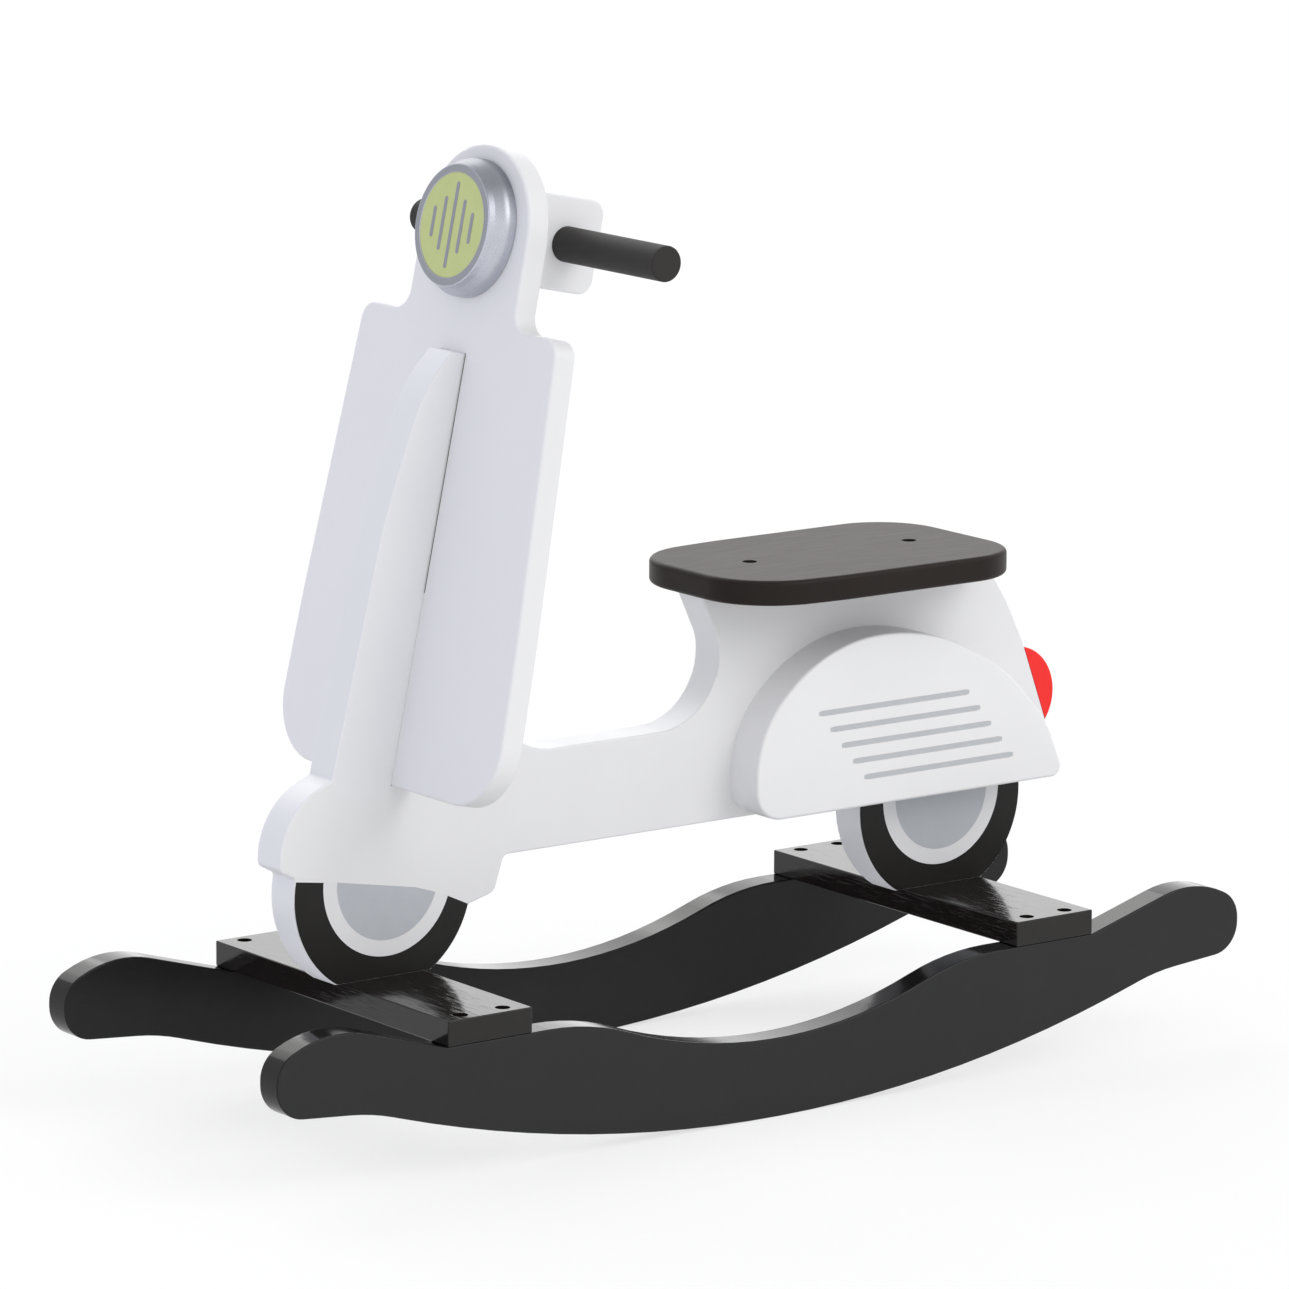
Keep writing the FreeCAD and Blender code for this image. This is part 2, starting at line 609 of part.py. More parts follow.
# Silhouette board
def body_outline():
    """Both fenders, fin, column, footwell, riser and tail, above the plank tops."""
    front = size("front_wheel_x")
    axle = size("wheel_height")
    deck = size("deck_top")
    under = deck - size("deck_depth")
    nose = front + size("wheel_radius") + size("fender_lip")
    top = size("slot_top") - size("slot_play")
    column_back = -size("shield_thick")
    fin_crest = from_shield(size("fin_crest_out"), top - size("fin_crest_drop"))
    fin_top = from_shield(size("fin_top_out"), top)
    column_top = from_shield(column_back - size("column_deep"), top)
    foot_up = 0.0
    for step in range(3):
        # walk down the column's sloping rear edge to the level of the deck
        foot_x, foot_z = from_shield(column_back - size("column_foot"), foot_up)
        foot_up += (deck - foot_z) / math.cos(math.radians(size("lean")))
    foot_x, foot_z = from_shield(column_back - size("column_foot"), foot_up)
    skirt_x = front - size("skirt_gap")
    return [
        (front - size("join_back"), axle - size("join_drop"), 0),
        (front + size("join_ahead"), axle + size("join_rise"), 0),
        (nose, axle + size("lip_height"), size("lip_round")),
        (nose, axle + size("fender_height"), size("fender_round")),
        (front + size("fender_top_x"), deck, size("fin_foot_round")),
        (front - size("fin_bend_x"), deck + size("fin_bend_rise"), size("fin_bend_round")),
        (fin_crest[0], fin_crest[1], size("fin_crest_round")),
        (fin_top[0], fin_top[1], size("fin_top_round")),
        (column_top[0], column_top[1], size("column_round")),
        (foot_x, foot_z, size("footwell_front")),
        (-size("riser_x"), deck, size("footwell_rear")),
        (-size("riser_x"), deck + size("riser_bend"), size("riser_bend_round")),
        (-size("riser_top_x"), deck + size("riser_top"), 0),
        (-size("tail_top_x"), deck + size("riser_top"), size("tail_top_round")),
        (-size("tail_swell_x"), deck + size("tail_swell_rise"), size("tail_swell_round")),
        (-size("tail_bend_x"), deck + size("tail_bend_rise"), size("tail_bend_round")),
        (-size("tail_low_x"), deck - size("tail_low_drop"), size("tail_low_round")),
        (-size("tail_end_x"), under, size("tail_end_round")),
        (skirt_x, under, size("skirt_top_round")),
        (skirt_x + size("skirt_run"), under - size("skirt_drop"), size("skirt_round")),
    ]


def wheel_outline(middle):
    """A wheel cut flat where it stands on its plank."""
    centre = Vector(middle, size("wheel_height"), 0)
    radius = size("wheel_radius")
    open_half = math.acos(size("wheel_height") / radius)
    begin = -math.pi / 2 + open_half
    finish = begin + 2 * math.pi - 2 * open_half
    rim = Part.ArcOfCircle(Part.Circle(centre, Vector(0, 0, 1), radius), begin, finish)
    half = radius * math.sin(open_half)
    flat = Part.LineSegment(Vector(middle - half, 0, 0), Vector(middle + half, 0, 0))
    return [rim, flat]


board = new_body("body_board")
for name, shapes in (("silhouette", rounded(body_outline())),
                     ("front_wheel", wheel_outline(size("front_wheel_x"))),
                     ("rear_wheel", wheel_outline(-size("rear_wheel_x")))):
    outline = new_sketch(board, name + "_outline", "XZ_Plane")
    draw(outline, shapes)
    pad(board, outline, name, "body_thick")
WHEELS = [Vector(size("front_wheel_x"), 0, size("wheel_height")),
          Vector(-size("rear_wheel_x"), 0, size("wheel_height"))]


def meets_wheel(edge):
    """Picks the inner corners where the board runs into a wheel's rim."""
    box = edge.BoundBox
    if box.XLength > NEAR or box.ZLength > NEAR or box.ZMin < NEAR:
        return False
    spot = Vector(box.XMin, 0, box.ZMin)
    return any(abs(spot.distanceToPoint(centre) - size("wheel_radius")) < NEAR for centre in WHEELS)


round_edges(board, "wheel_corners", "wheel_corner", meets_wheel)


def outline_edge(edge):
    """Picks the outline edges, except those of the wheels' flats, which stay sharp on the planks."""
    return on_faces("Y", size("body_thick"))(edge) and not flat_in(edge, "Z", 0)


round_edges(board, "outline_edges", "body_round", outline_edge)


def lean_spot(out, up):
    """Formulas for x and height above the plank tops of a point on the shield's frame."""
    return ("shield_x + (%s) * cos(lean) - (%s) * sin(lean)" % (out, up),
            "shield_foot + (%s) * sin(lean) + (%s) * cos(lean)" % (out, up))


drill(board, "front_wheel_shanks", "XY_Plane", "0",
      [("plank_offset %s wheel_screw_pitch / 2" % sign, "0") for sign in ("-", "+")],
      SHANK_HOLE, "wheel_screw + head_sink - head_high - plank_thick + tip_play", flip=True)
drill(board, "rear_wheel_shanks", "XY_Plane", "0",
      [("-plank_offset %s wheel_screw_pitch / 2" % sign, "0") for sign in ("-", "+")],
      SHANK_HOLE, "wheel_screw + head_sink - head_high - plank_thick + tip_play", flip=True)
SEAT_UNDER = "(deck_top + riser_top)"
drill(board, "seat_shanks", "XY_Plane", SEAT_UNDER,
      [("-seat_screw_x %s seat_screw_pitch / 2" % sign, "0") for sign in ("-", "+")],
      SHANK_HOLE, "seat_screw + head_sink - head_high - seat_thick + tip_play")
drill(board, "seat_dowel_holes", "XY_Plane", SEAT_UNDER,
      [("-seat_screw_x %s seat_dowel_pitch / 2" % sign, "0") for sign in ("-", "+")],
      "dowel_radius + fit", "seat_dowel - seat_dowel_in + tip_play")
CLEAT_MIDDLE = "(cleat_foot + cleat_length / 2)"
CLEAT_SPOTS = [lean_spot("-shield_thick - cleat_side / 2", CLEAT_MIDDLE + sign + "cleat_step / 2")
               for sign in (" - ", " + ")]
for side, lift, flip in (("left", "-body_thick / 2", True), ("right", "body_thick / 2", False)):
    drill(board, side + "_cleat_shanks", "XZ_Plane", lift, CLEAT_SPOTS, SHANK_HOLE,
          "cleat_screw + head_sink - head_high - cleat_side + tip_play", flip=flip)
COWL_SPOTS = [("-cowl_dowel_x %s %s_pitch / 2" % (sign, row), "cowl_foot + %s_rise" % row)
              for row in ("cowl_low", "cowl_high") for sign in ("-", "+")]
drill(board, "cowl_dowel_holes", "XZ_Plane", "0", COWL_SPOTS, "dowel_radius + fit")
TAIL_LEAN = "atan((tail_low_x - tail_bend_x) / (tail_bend_rise + tail_low_drop))"
TAIL_X = "-tail_bend_x - lamp_drop * sin(%s)" % TAIL_LEAN
TAIL_Z = "deck_top + tail_bend_rise - lamp_drop * cos(%s)" % TAIL_LEAN
TAIL_TURN = TAIL_LEAN + " - 90 deg"
drill(board, "tail_lamp_holes", "XY_Plane", (TAIL_X, TAIL_Z, TAIL_TURN), grid("lamp_dowel_pitch"),
      "lamp_dowel_radius + fit", "lamp_dowel - lamp_dowel_in + tip_play")
place(board, z=PLANK_TOP)


# Seat
seat = new_body("seat_board")
outline = new_sketch(seat, "outline", "XY_Plane")
half = [
    (0, size("seat_nose_half"), size("seat_nose_corner")),
    (-size("seat_nose_run"), size("seat_half"), size("seat_nose_round")),
    (-size("seat_length"), size("seat_half"), size("seat_corner")),
]
draw(outline, rounded(half + [(x, -y, r) for x, y, r in reversed(half)]))
pad(seat, outline, "board", "seat_thick", side="One side")
round_edges(seat, "outline_edges", "seat_round",
            on_faces("Z", size("seat_thick"), size("seat_thick") / 2))
SEAT_SCREWS = [("seat_front_x - seat_screw_x %s seat_screw_pitch / 2" % sign, "0")
               for sign in ("-", "+")]
SEAT_DOWELS = [("seat_front_x - seat_screw_x %s seat_dowel_pitch / 2" % sign, "0")
               for sign in ("-", "+")]
drill(seat, "screw_heads", "XY_Plane", "seat_thick", SEAT_SCREWS, HEAD_HOLE, "head_sink")
drill(seat, "screw_shanks", "XY_Plane", "seat_thick", SEAT_SCREWS, SHANK_HOLE, "seat_thick")
drill(seat, "dowel_holes", "XY_Plane", "0", SEAT_DOWELS, "dowel_radius + fit",
      "seat_dowel_in + tip_play", flip=True)
SEAT_BASE = PLANK_TOP + " + " + SEAT_UNDER
place(seat, x="-seat_front_x", z=SEAT_BASE)
place(screws("seat_screws", SEAT_SCREWS, "seat_screw"), x="-seat_front_x",
      z=SEAT_BASE + " + seat_thick - " + UNDER_HEAD)
place(dowels("seat_dowels", SEAT_DOWELS, "dowel_radius", "seat_dowel"), x="-seat_front_x",
      z=SEAT_BASE + " + seat_dowel_in")


# Side cowls
def cowl_outline():
    """Flat foot, round nose and a back that falls to a pointed tail, above the plank tops."""
    foot = size("cowl_foot")
    crown = foot + size("cowl_height")
    return [
        (-size("cowl_nose_x"), foot, size("cowl_foot_round")),
        (-size("cowl_nose_x"), foot + size("cowl_nose_rise"), size("cowl_nose_round")),
        (-size("cowl_brow_x"), crown, size("cowl_brow_round")),
        (-size("cowl_crown_x"), crown, size("cowl_crown_round")),
        (-size("cowl_back_x"), foot + size("cowl_back_rise"), size("cowl_back_round")),
        (-size("cowl_heel_x"), foot + size("cowl_heel_rise"), size("cowl_heel_round")),
        (-size("cowl_tail_x"), foot, size("cowl_tip_round")),
    ]


for side, sign in (("left", 1), ("right", -1)):
    cowl = new_body("cowl_" + side)
    outline = new_sketch(cowl, "outline", "XZ_Plane")
    draw(outline, rounded(cowl_outline()))
    pad(cowl, outline, "board", "cowl_thick", side="One side", flip=sign > 0)
    outer = sign * size("cowl_thick")
    round_edges(cowl, "outline_edges", "cowl_round", lambda edge: flat_in(edge, "Y", outer))
    drill(cowl, "dowel_holes", "XZ_Plane", "0", COWL_SPOTS, "dowel_radius + fit",
          "cowl_dowel_in + tip_play", flip=sign < 0)
    place(cowl, y="%d * body_thick / 2" % sign, z=PLANK_TOP)

pins = new_body("cowl_dowels")
outline = new_sketch(pins, "pins", "XZ_Plane")
circles(outline, COWL_SPOTS, "dowel_radius")
pad(pins, outline, "pin", "body_thick + 2 * cowl_dowel_in")
place(pins, z=PLANK_TOP)


# Tail lamp
lamp = new_body("tail_lamp")
outline = new_sketch(lamp, "outline", "XZ_Plane")
radius = size("lamp_radius")
depth = radius - size("lamp_sag")
half = math.sqrt(radius ** 2 - depth ** 2)
rim = Part.Circle(Vector(0, -depth, 0), Vector(0, 0, 1), radius)
draw(outline, [Part.ArcOfCircle(rim, math.atan2(depth, half), math.atan2(depth, -half)),
               Part.LineSegment(Vector(-half, 0, 0), Vector(half, 0, 0))])
pad(lamp, outline, "block", "body_thick")
faces = on_faces("Y", size("body_thick"))
round_edges(lamp, "rim_edges", "lamp_round", lambda edge: faces(edge) and edge.BoundBox.ZMax > NEAR)
drill(lamp, "dowel_holes", "XY_Plane", "0", grid("lamp_dowel_pitch"), "lamp_dowel_radius + fit",
      "lamp_dowel_in + tip_play", flip=True)
place(lamp, x=TAIL_X, z=PLANK_TOP + " + " + TAIL_Z, angle=TAIL_TURN)
pins = dowels("tail_lamp_dowels", grid("lamp_dowel_pitch"), "lamp_dowel_radius", "lamp_dowel")
place(pins, x=TAIL_X + " + lamp_dowel_in * sin(%s)" % TAIL_TURN,
      z=PLANK_TOP + " + " + TAIL_Z + " + lamp_dowel_in * cos(%s)" % TAIL_TURN, angle=TAIL_TURN)


# Front shield
shield = new_body("front_shield")
outline = new_sketch(shield, "outline", "YZ_Plane")
half = [
    (size("shield_half"), 0, size("shield_foot_round")),
    (size("shield_waist"), size("shield_waist_rise"), size("shield_waist_round")),
    (size("shoulder_half"), size("shoulder_rise"), size("shoulder_round")),
    (size("head_half"), size("shoulder_rise"), size("neck_round")),
    (size("head_half"), size("head_top"), size("head_half")),
]
draw(outline, rounded(half + [(-y, z, r) for y, z, r in reversed(half)]))
pad(shield, outline, "board", "shield_thick", side="One side", flip=True)
round_edges(shield, "outline_edges", "shield_round",
            on_faces("X", size("shield_thick"), -size("shield_thick") / 2))
outline = new_sketch(shield, "slot_outline", "YZ_Plane")
rectangle(outline, "-body_thick / 2 - slot_play", "body_thick / 2 + slot_play",
          "-shield_thick", "slot_top")
cut(shield, outline, "slot")
outline = new_sketch(shield, "slot_ease_outline", "YZ_Plane")
rectangle(outline, "-body_thick / 2 - slot_ease", "body_thick / 2 + slot_ease",
          "slot_ease_foot", "slot_top")
cut(shield, outline, "slot_eased")
CLEAT_ACROSS = "(body_thick / 2 + cleat_side / 2)"
CLEAT_TO_SHIELD = [(y + CLEAT_ACROSS, CLEAT_MIDDLE + sign + "cleat_pitch / 2")
                   for y in ("-", "") for sign in (" - ", " + ")]
drill(shield, "cleat_shanks", "YZ_Plane", "-shield_thick", CLEAT_TO_SHIELD, SHANK_HOLE,
      "cleat_screw + head_sink - head_high - cleat_side + tip_play", flip=True)
BLOCK_SPOTS = [(y, "lamp_rise + " + z) for y, z in grid("block_pitch_y", "block_pitch_z")]
drill(shield, "block_heads", "YZ_Plane", "0", BLOCK_SPOTS, HEAD_HOLE, "head_sink")
drill(shield, "block_shanks", "YZ_Plane", "0", BLOCK_SPOTS, SHANK_HOLE, "shield_thick")
drill(shield, "lamp_shank", "YZ_Plane", "0", [("0", "lamp_rise")], SHANK_HOLE, "shield_thick")
place_on_shield(shield)


# Cleats behind the shield
for side, sign in (("left", 1), ("right", -1)):
    cleat = new_body("shield_cleat_" + side)
    outline = new_sketch(cleat, "section", "XY_Plane")
    rectangle(outline, "-cleat_side", "0", "-cleat_side / 2", "cleat_side / 2")
    pad(cleat, outline, "batten", "cleat_length")
    across = [("-cleat_side / 2", "%scleat_step / 2" % end) for end in ("-", "")]
    outer = "%s cleat_side / 2" % ("-" if sign > 0 else "")
    drill(cleat, "board_heads", "XZ_Plane", outer, across, HEAD_HOLE, "head_sink", flip=sign > 0)
    drill(cleat, "board_shanks", "XZ_Plane", outer, across, SHANK_HOLE, "cleat_side",
          flip=sign > 0)
    along = [("0", "%scleat_pitch / 2" % end) for end in ("-", "")]
    drill(cleat, "shield_heads", "YZ_Plane", "-cleat_side", along, HEAD_HOLE, "head_sink",
          flip=True)
    drill(cleat, "shield_shanks", "YZ_Plane", "-cleat_side", along, SHANK_HOLE, "cleat_side",
          flip=True)
    place_on_shield(cleat, out="-shield_thick", up=CLEAT_MIDDLE,
                    y="%d * %s" % (sign, CLEAT_ACROSS))
    pins = screws("cleat_screws_" + side, across, "cleat_screw", "XZ_Plane", flip=sign < 0)
    place_on_shield(pins, out="-shield_thick", up=CLEAT_MIDDLE,
                    y="%d * (body_thick / 2 + cleat_side - %s)" % (sign, UNDER_HEAD))
pins = screws("shield_screws", [("%scleat_pitch / 2" % end, y + CLEAT_ACROSS)
                                for end in ("-", "") for y in ("-", "")], "cleat_screw")
place_on_shield(pins, out="-shield_thick - cleat_side + " + UNDER_HEAD, up=CLEAT_MIDDLE, turn="-90")


# Handles and their block
block = new_body("handlebar_block")
outline = new_sketch(block, "outline", "XZ_Plane")
deep = size("block_deep")
tall = size("block_high") / 2
draw(outline, rounded([(0, -tall, 0), (0, tall, 0), (-deep, tall, size("block_corner")),
                       (-deep, -tall, size("block_corner"))]))
pad(block, outline, "block", "block_wide")
faces = on_faces("Y", size("block_wide"))
round_edges(block, "outline_edges", "block_round",
            lambda edge: faces(edge) and edge.BoundBox.XMin < -NEAR)
for side, sign in (("left", 1), ("right", -1)):
    drill(block, side + "_tenon_hole", "XZ_Plane", "%d * block_wide / 2" % -sign,
          [("-grip_back", "0")], "tenon_radius + fit", "tenon_length + tip_play", flip=sign > 0)
drill(block, "shield_shanks", "YZ_Plane", "0", grid("block_pitch_y", "block_pitch_z"), SHANK_HOLE,
      "block_screw + head_sink - head_high - shield_thick + tip_play")
LENS_FLOOR = "(lens_front - lens_thick)"
drill(block, "lamp_shank", "YZ_Plane", "0", [("0", "0")], SHANK_HOLE,
      "lens_screw - %s + %s - shield_thick + tip_play" % (LENS_FLOOR, UNDER_HEAD))
ABOVE_TENONS = [("-grip_back", "%s(block_wide - tenon_length) / 2" % end) for end in ("-", "")]
drill(block, "handle_heads", "XY_Plane", "-block_high / 2", ABOVE_TENONS, HEAD_HOLE, "head_sink",
      flip=True)
drill(block, "handle_shanks", "XY_Plane", "-block_high / 2", ABOVE_TENONS, SHANK_HOLE,
      "block_high / 2", flip=True)
place_on_shield(block, out="-shield_thick", up="lamp_rise")
pins = screws("block_screws", [(z, y) for y, z in grid("block_pitch_y", "block_pitch_z")],
              "block_screw")
place_on_shield(pins, out="-" + UNDER_HEAD, up="lamp_rise", turn="90")

for side, sign in (("left", 1), ("right", -1)):
    handle = new_body("handle_" + side)
    outline = new_sketch(handle, "section", "XZ_Plane")
    circles(outline, [("0", "0")], "grip_radius")
    pad(handle, outline, "grip", "(grip_span - block_wide) / 2", side="One side", flip=sign > 0)
    end = sign * (size("grip_span") - size("block_wide")) / 2
    round_edges(handle, "end", "grip_round", lambda edge: flat_in(edge, "Y", end))
    outline = new_sketch(handle, "tenon_section", "XZ_Plane")
    circles(outline, [("0", "0")], "tenon_radius")
    pad(handle, outline, "tenon", "tenon_length", side="One side", flip=sign < 0)
    drill(handle, "screw_hole", "XY_Plane", "-tenon_radius",
          [("0", "%d * tenon_length / 2" % -sign)], SHANK_HOLE,
          "handle_screw - block_high / 2 + %s + tenon_radius + tip_play" % UNDER_HEAD, flip=True)
    place_on_shield(handle, out="-shield_thick - grip_back", up="lamp_rise",
                    y="%d * block_wide / 2" % sign)
pins = screws("handle_screws", [("0", y) for x, y in ABOVE_TENONS], "handle_screw")
place_on_shield(pins, out="-shield_thick - grip_back",
                up="lamp_rise - block_high / 2 + " + UNDER_HEAD, turn="180")


# Headlamp
bezel = new_body("headlamp_bezel")
profile = new_sketch(bezel, "profile", "XZ_Plane")
front = size("bezel_front")
floor = size("lens_front") - size("lens_thick")
inner = size("lens_radius") + size("fit")
draw(profile, rounded([
    (0, 0, 0),
    (0, size("bezel_radius"), size("bezel_foot_round")),
    (size("bezel_wall"), size("bezel_radius"), size("bezel_bulge")),
    (size("bezel_step"), size("bezel_step_radius"), size("bezel_cove")),
    (front, size("bezel_ring"), size("bezel_ring_round")),
    (front, inner, size("bezel_mouth_round")),
    (floor, inner, 0),
    (floor, 0, 0),
]))
ring = bezel.newObject("PartDesign::Revolution", "ring")
ring.Profile = profile
ring.ReferenceAxis = (profile, ["H_Axis"])
ring.Angle = 360
doc.recompute()
drill(bezel, "screw_head", "YZ_Plane", LENS_FLOOR, [("0", "0")], HEAD_HOLE, "head_sink")
drill(bezel, "screw_shank", "YZ_Plane", LENS_FLOOR, [("0", "0")], SHANK_HOLE, LENS_FLOOR)
place_on_shield(bezel, up="lamp_rise")
face = new_body("headlamp_face")
outline = new_sketch(face, "outline", "YZ_Plane")
circles(outline, [("0", "0")], "lens_radius")
pad(face, outline, "disc", "lens_thick", side="One side", flip=True)
place_on_shield(face, out="lens_front", up="lamp_rise")
pins = screws("headlamp_screw", [("0", "0")], "lens_screw")
place_on_shield(pins, out=LENS_FLOOR + " - " + UNDER_HEAD, up="lamp_rise", turn="90")


# Check everything, then write
def check_and_write():
    doc.recompute()
    for thing in doc.Objects:
        if "Invalid" in thing.State or "Error" in thing.State:
            raise ValueError("%s failed: %s" % (thing.Name, thing.State))
    for body in PARTS:
        if body.Shape.isNull() or not body.Shape.isValid():
            raise ValueError("%s has no valid shape" % body.Label)
    os.makedirs("parts", exist_ok=True)
    for body in PARTS:
        body.Shape.exportStep("parts/%s.step" % body.Label)
        print(body.Label, "solids", len(body.Shape.Solids), "volume", round(body.Shape.Volume))


check_and_write()
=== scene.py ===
"""Looks of a wooden rocking motorcycle, laid out as an add-on and run as a script.

The packed pieces keep their shapes and get the finishes of the real toy. Paint films that the pieces
carry, such as tyres, cowl stripes and lamp bars, are thin closed sheets on the boards. All lengths
are in metres: +X is the toy's front, +Y its left side and +Z up, with the floor at 0.
"""

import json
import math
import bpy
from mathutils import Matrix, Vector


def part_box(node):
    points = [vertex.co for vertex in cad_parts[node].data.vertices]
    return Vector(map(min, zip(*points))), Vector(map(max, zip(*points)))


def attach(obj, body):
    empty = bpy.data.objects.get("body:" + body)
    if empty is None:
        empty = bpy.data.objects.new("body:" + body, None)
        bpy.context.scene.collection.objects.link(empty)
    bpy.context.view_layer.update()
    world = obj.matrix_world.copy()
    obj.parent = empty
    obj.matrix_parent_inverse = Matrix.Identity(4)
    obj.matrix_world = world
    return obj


bl_info = {
    "name": "Rocking motorcycle looks",
    "version": (1, 0, 0),
    "blender": (4, 5, 0),
    "location": "3D View > Sidebar > Rocker",
    "description": "Finishes, paint films and studio of a wooden rocking motorcycle",
    "category": "Object",
}

import bpy
import numpy as np
from mathutils import Matrix, Vector

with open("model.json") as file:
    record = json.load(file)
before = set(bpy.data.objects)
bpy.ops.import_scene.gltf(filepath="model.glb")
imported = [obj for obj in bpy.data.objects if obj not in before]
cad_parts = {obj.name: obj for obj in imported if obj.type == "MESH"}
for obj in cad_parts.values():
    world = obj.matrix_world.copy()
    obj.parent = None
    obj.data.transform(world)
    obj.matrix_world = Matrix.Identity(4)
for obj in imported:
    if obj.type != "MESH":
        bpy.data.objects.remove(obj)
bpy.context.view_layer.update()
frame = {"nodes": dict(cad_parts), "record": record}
NODES = frame["nodes"]
MM = 0.001
PLANK_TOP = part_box("front_plank")[1].z
SIDES = (("left", 1), ("right", -1))

# How far the back of a paint film is sunk into its board
FILM_SINK = 0.05 * MM

# Lower edge of the front fender, which the wheel's paint ends at: along X and above the planks
FENDER_EDGE = np.array([(154.7, 37.0), (170.8, 44.5), (180.3, 48.3), (194.9, 53.1),
                        (252.6, 63.7), (262.3, 64.9), (285.0, 68.2)]) * MM

# Name, direction that the light comes from, its linear colour, and its strength's name
LIGHTS = (
    ("key_light", (-0.34, 0.72, 0.60), (1.0, 0.99, 0.97), "key"),
    ("front_light", (0.93, -0.1, 0.3), (0.35, 0.45, 1.0), "fill"),
    ("back_light", (-0.12, -0.79, 0.60), (1.0, 0.995, 0.98), "back"),
    ("backdrop_light", (-0.58, -0.78, 0.26), (1.0, 1.0, 1.0), "backdrop"),
)
ROOM_COLOUR = (0.985, 0.99, 1.0)


# Colours and nodes
def colour(value):
    """Linear colour with alpha of an sRGB hex value, a linear grey value or three linear values."""
    if isinstance(value, str):
        parts = [int(value[i:i + 2], 16) / 255 for i in (1, 3, 5)]
        value = [c / 12.92 if c <= 0.04045 else ((c + 0.055) / 1.055) ** 2.4 for c in parts]
    elif isinstance(value, float):
        value = (value, value, value)
    return (*value, 1.0)


def add(tree, kind, *values, stops=(), **settings):
    """Add a node with its settings and links.

    values fill its visible inputs in order; settings are inputs by name, or its own attributes. A
    node as a value links that node's first visible output, a socket links itself, and anything else
    is the input's constant. stops are a ramp's positions and colours.
    """
    node = tree.nodes.new("ShaderNode" + kind)
    pairs = []
    for name, value in settings.items():
        if hasattr(node, name):
            setattr(node, name, value)
        else:
            pairs.append((node.inputs[name.replace("_", " ")], value))
    pairs.extend(zip([socket for socket in node.inputs if socket.enabled], values))
    for socket, value in pairs:
        if isinstance(value, bpy.types.Node):
            value = next(output for output in value.outputs if output.enabled)
        if isinstance(value, bpy.types.NodeSocket):
            tree.links.new(value, socket)
        else:
            socket.default_value = colour(value) if socket.type == "RGBA" else value
    if stops:
        elements = node.color_ramp.elements
        while len(elements) < len(stops):
            elements.new(0.5)
        for element, (position, value) in zip(elements, stops):
            element.position = position
            element.color = colour(value)
    return node


def new_material(name):
    """A material with an empty node tree."""
    material = bpy.data.materials.new(name)
    material.use_nodes = True
    material.node_tree.nodes.clear()
    return material, material.node_tree


def grain(millimetres):
    """Texture scale at which the largest features are that wide on Object coordinates."""
    return 1000 / millimetres


def place_in(tree, stretch=(1, 1, 1), turn=0.0):
    """Object coordinates in metres, turned about Z and scaled per axis."""
    where = add(tree, "TexCoord")
    return add(tree, "Mapping", Vector=where.outputs["Object"], Rotation=(0, 0, turn), Scale=stretch)


def facing(tree):
    """The direction that the surface faces, as X, Y and Z."""
    geometry = add(tree, "NewGeometry")
    return add(tree, "SeparateXYZ", geometry.outputs["Normal"]).outputs


def sawn_edge(tree, side):
    """1 on a board's sawn edges and 0 on its sides, from how far the surface faces sideways."""
    return add(tree, "ValToRGB", side, stops=[(0.55, 1.0), (0.93, 0.0)])


def lay_over(tree, pattern, strength, below, above):
    """Lay a colour over another one, by a pattern times a strength."""
    share = add(tree, "Math", pattern, strength, operation="MULTIPLY")
    return add(tree, "Mix", share, below, above, data_type="RGBA")


def bumps(tree, *layers):
    """Stack bumps; each layer is a height and its depth in millimetres."""
    below = {}
    for height, depth in layers:
        node = add(tree, "Bump", Height=height, Distance=depth * MM, Strength=1.0, **below)
        below = {"Normal": node}
    return node


def finish(tree, **settings):
    """The surface shader, with constants on its own sockets, and the material's output."""
    add(tree, "OutputMaterial", Surface=add(tree, "BsdfPrincipled", **settings))


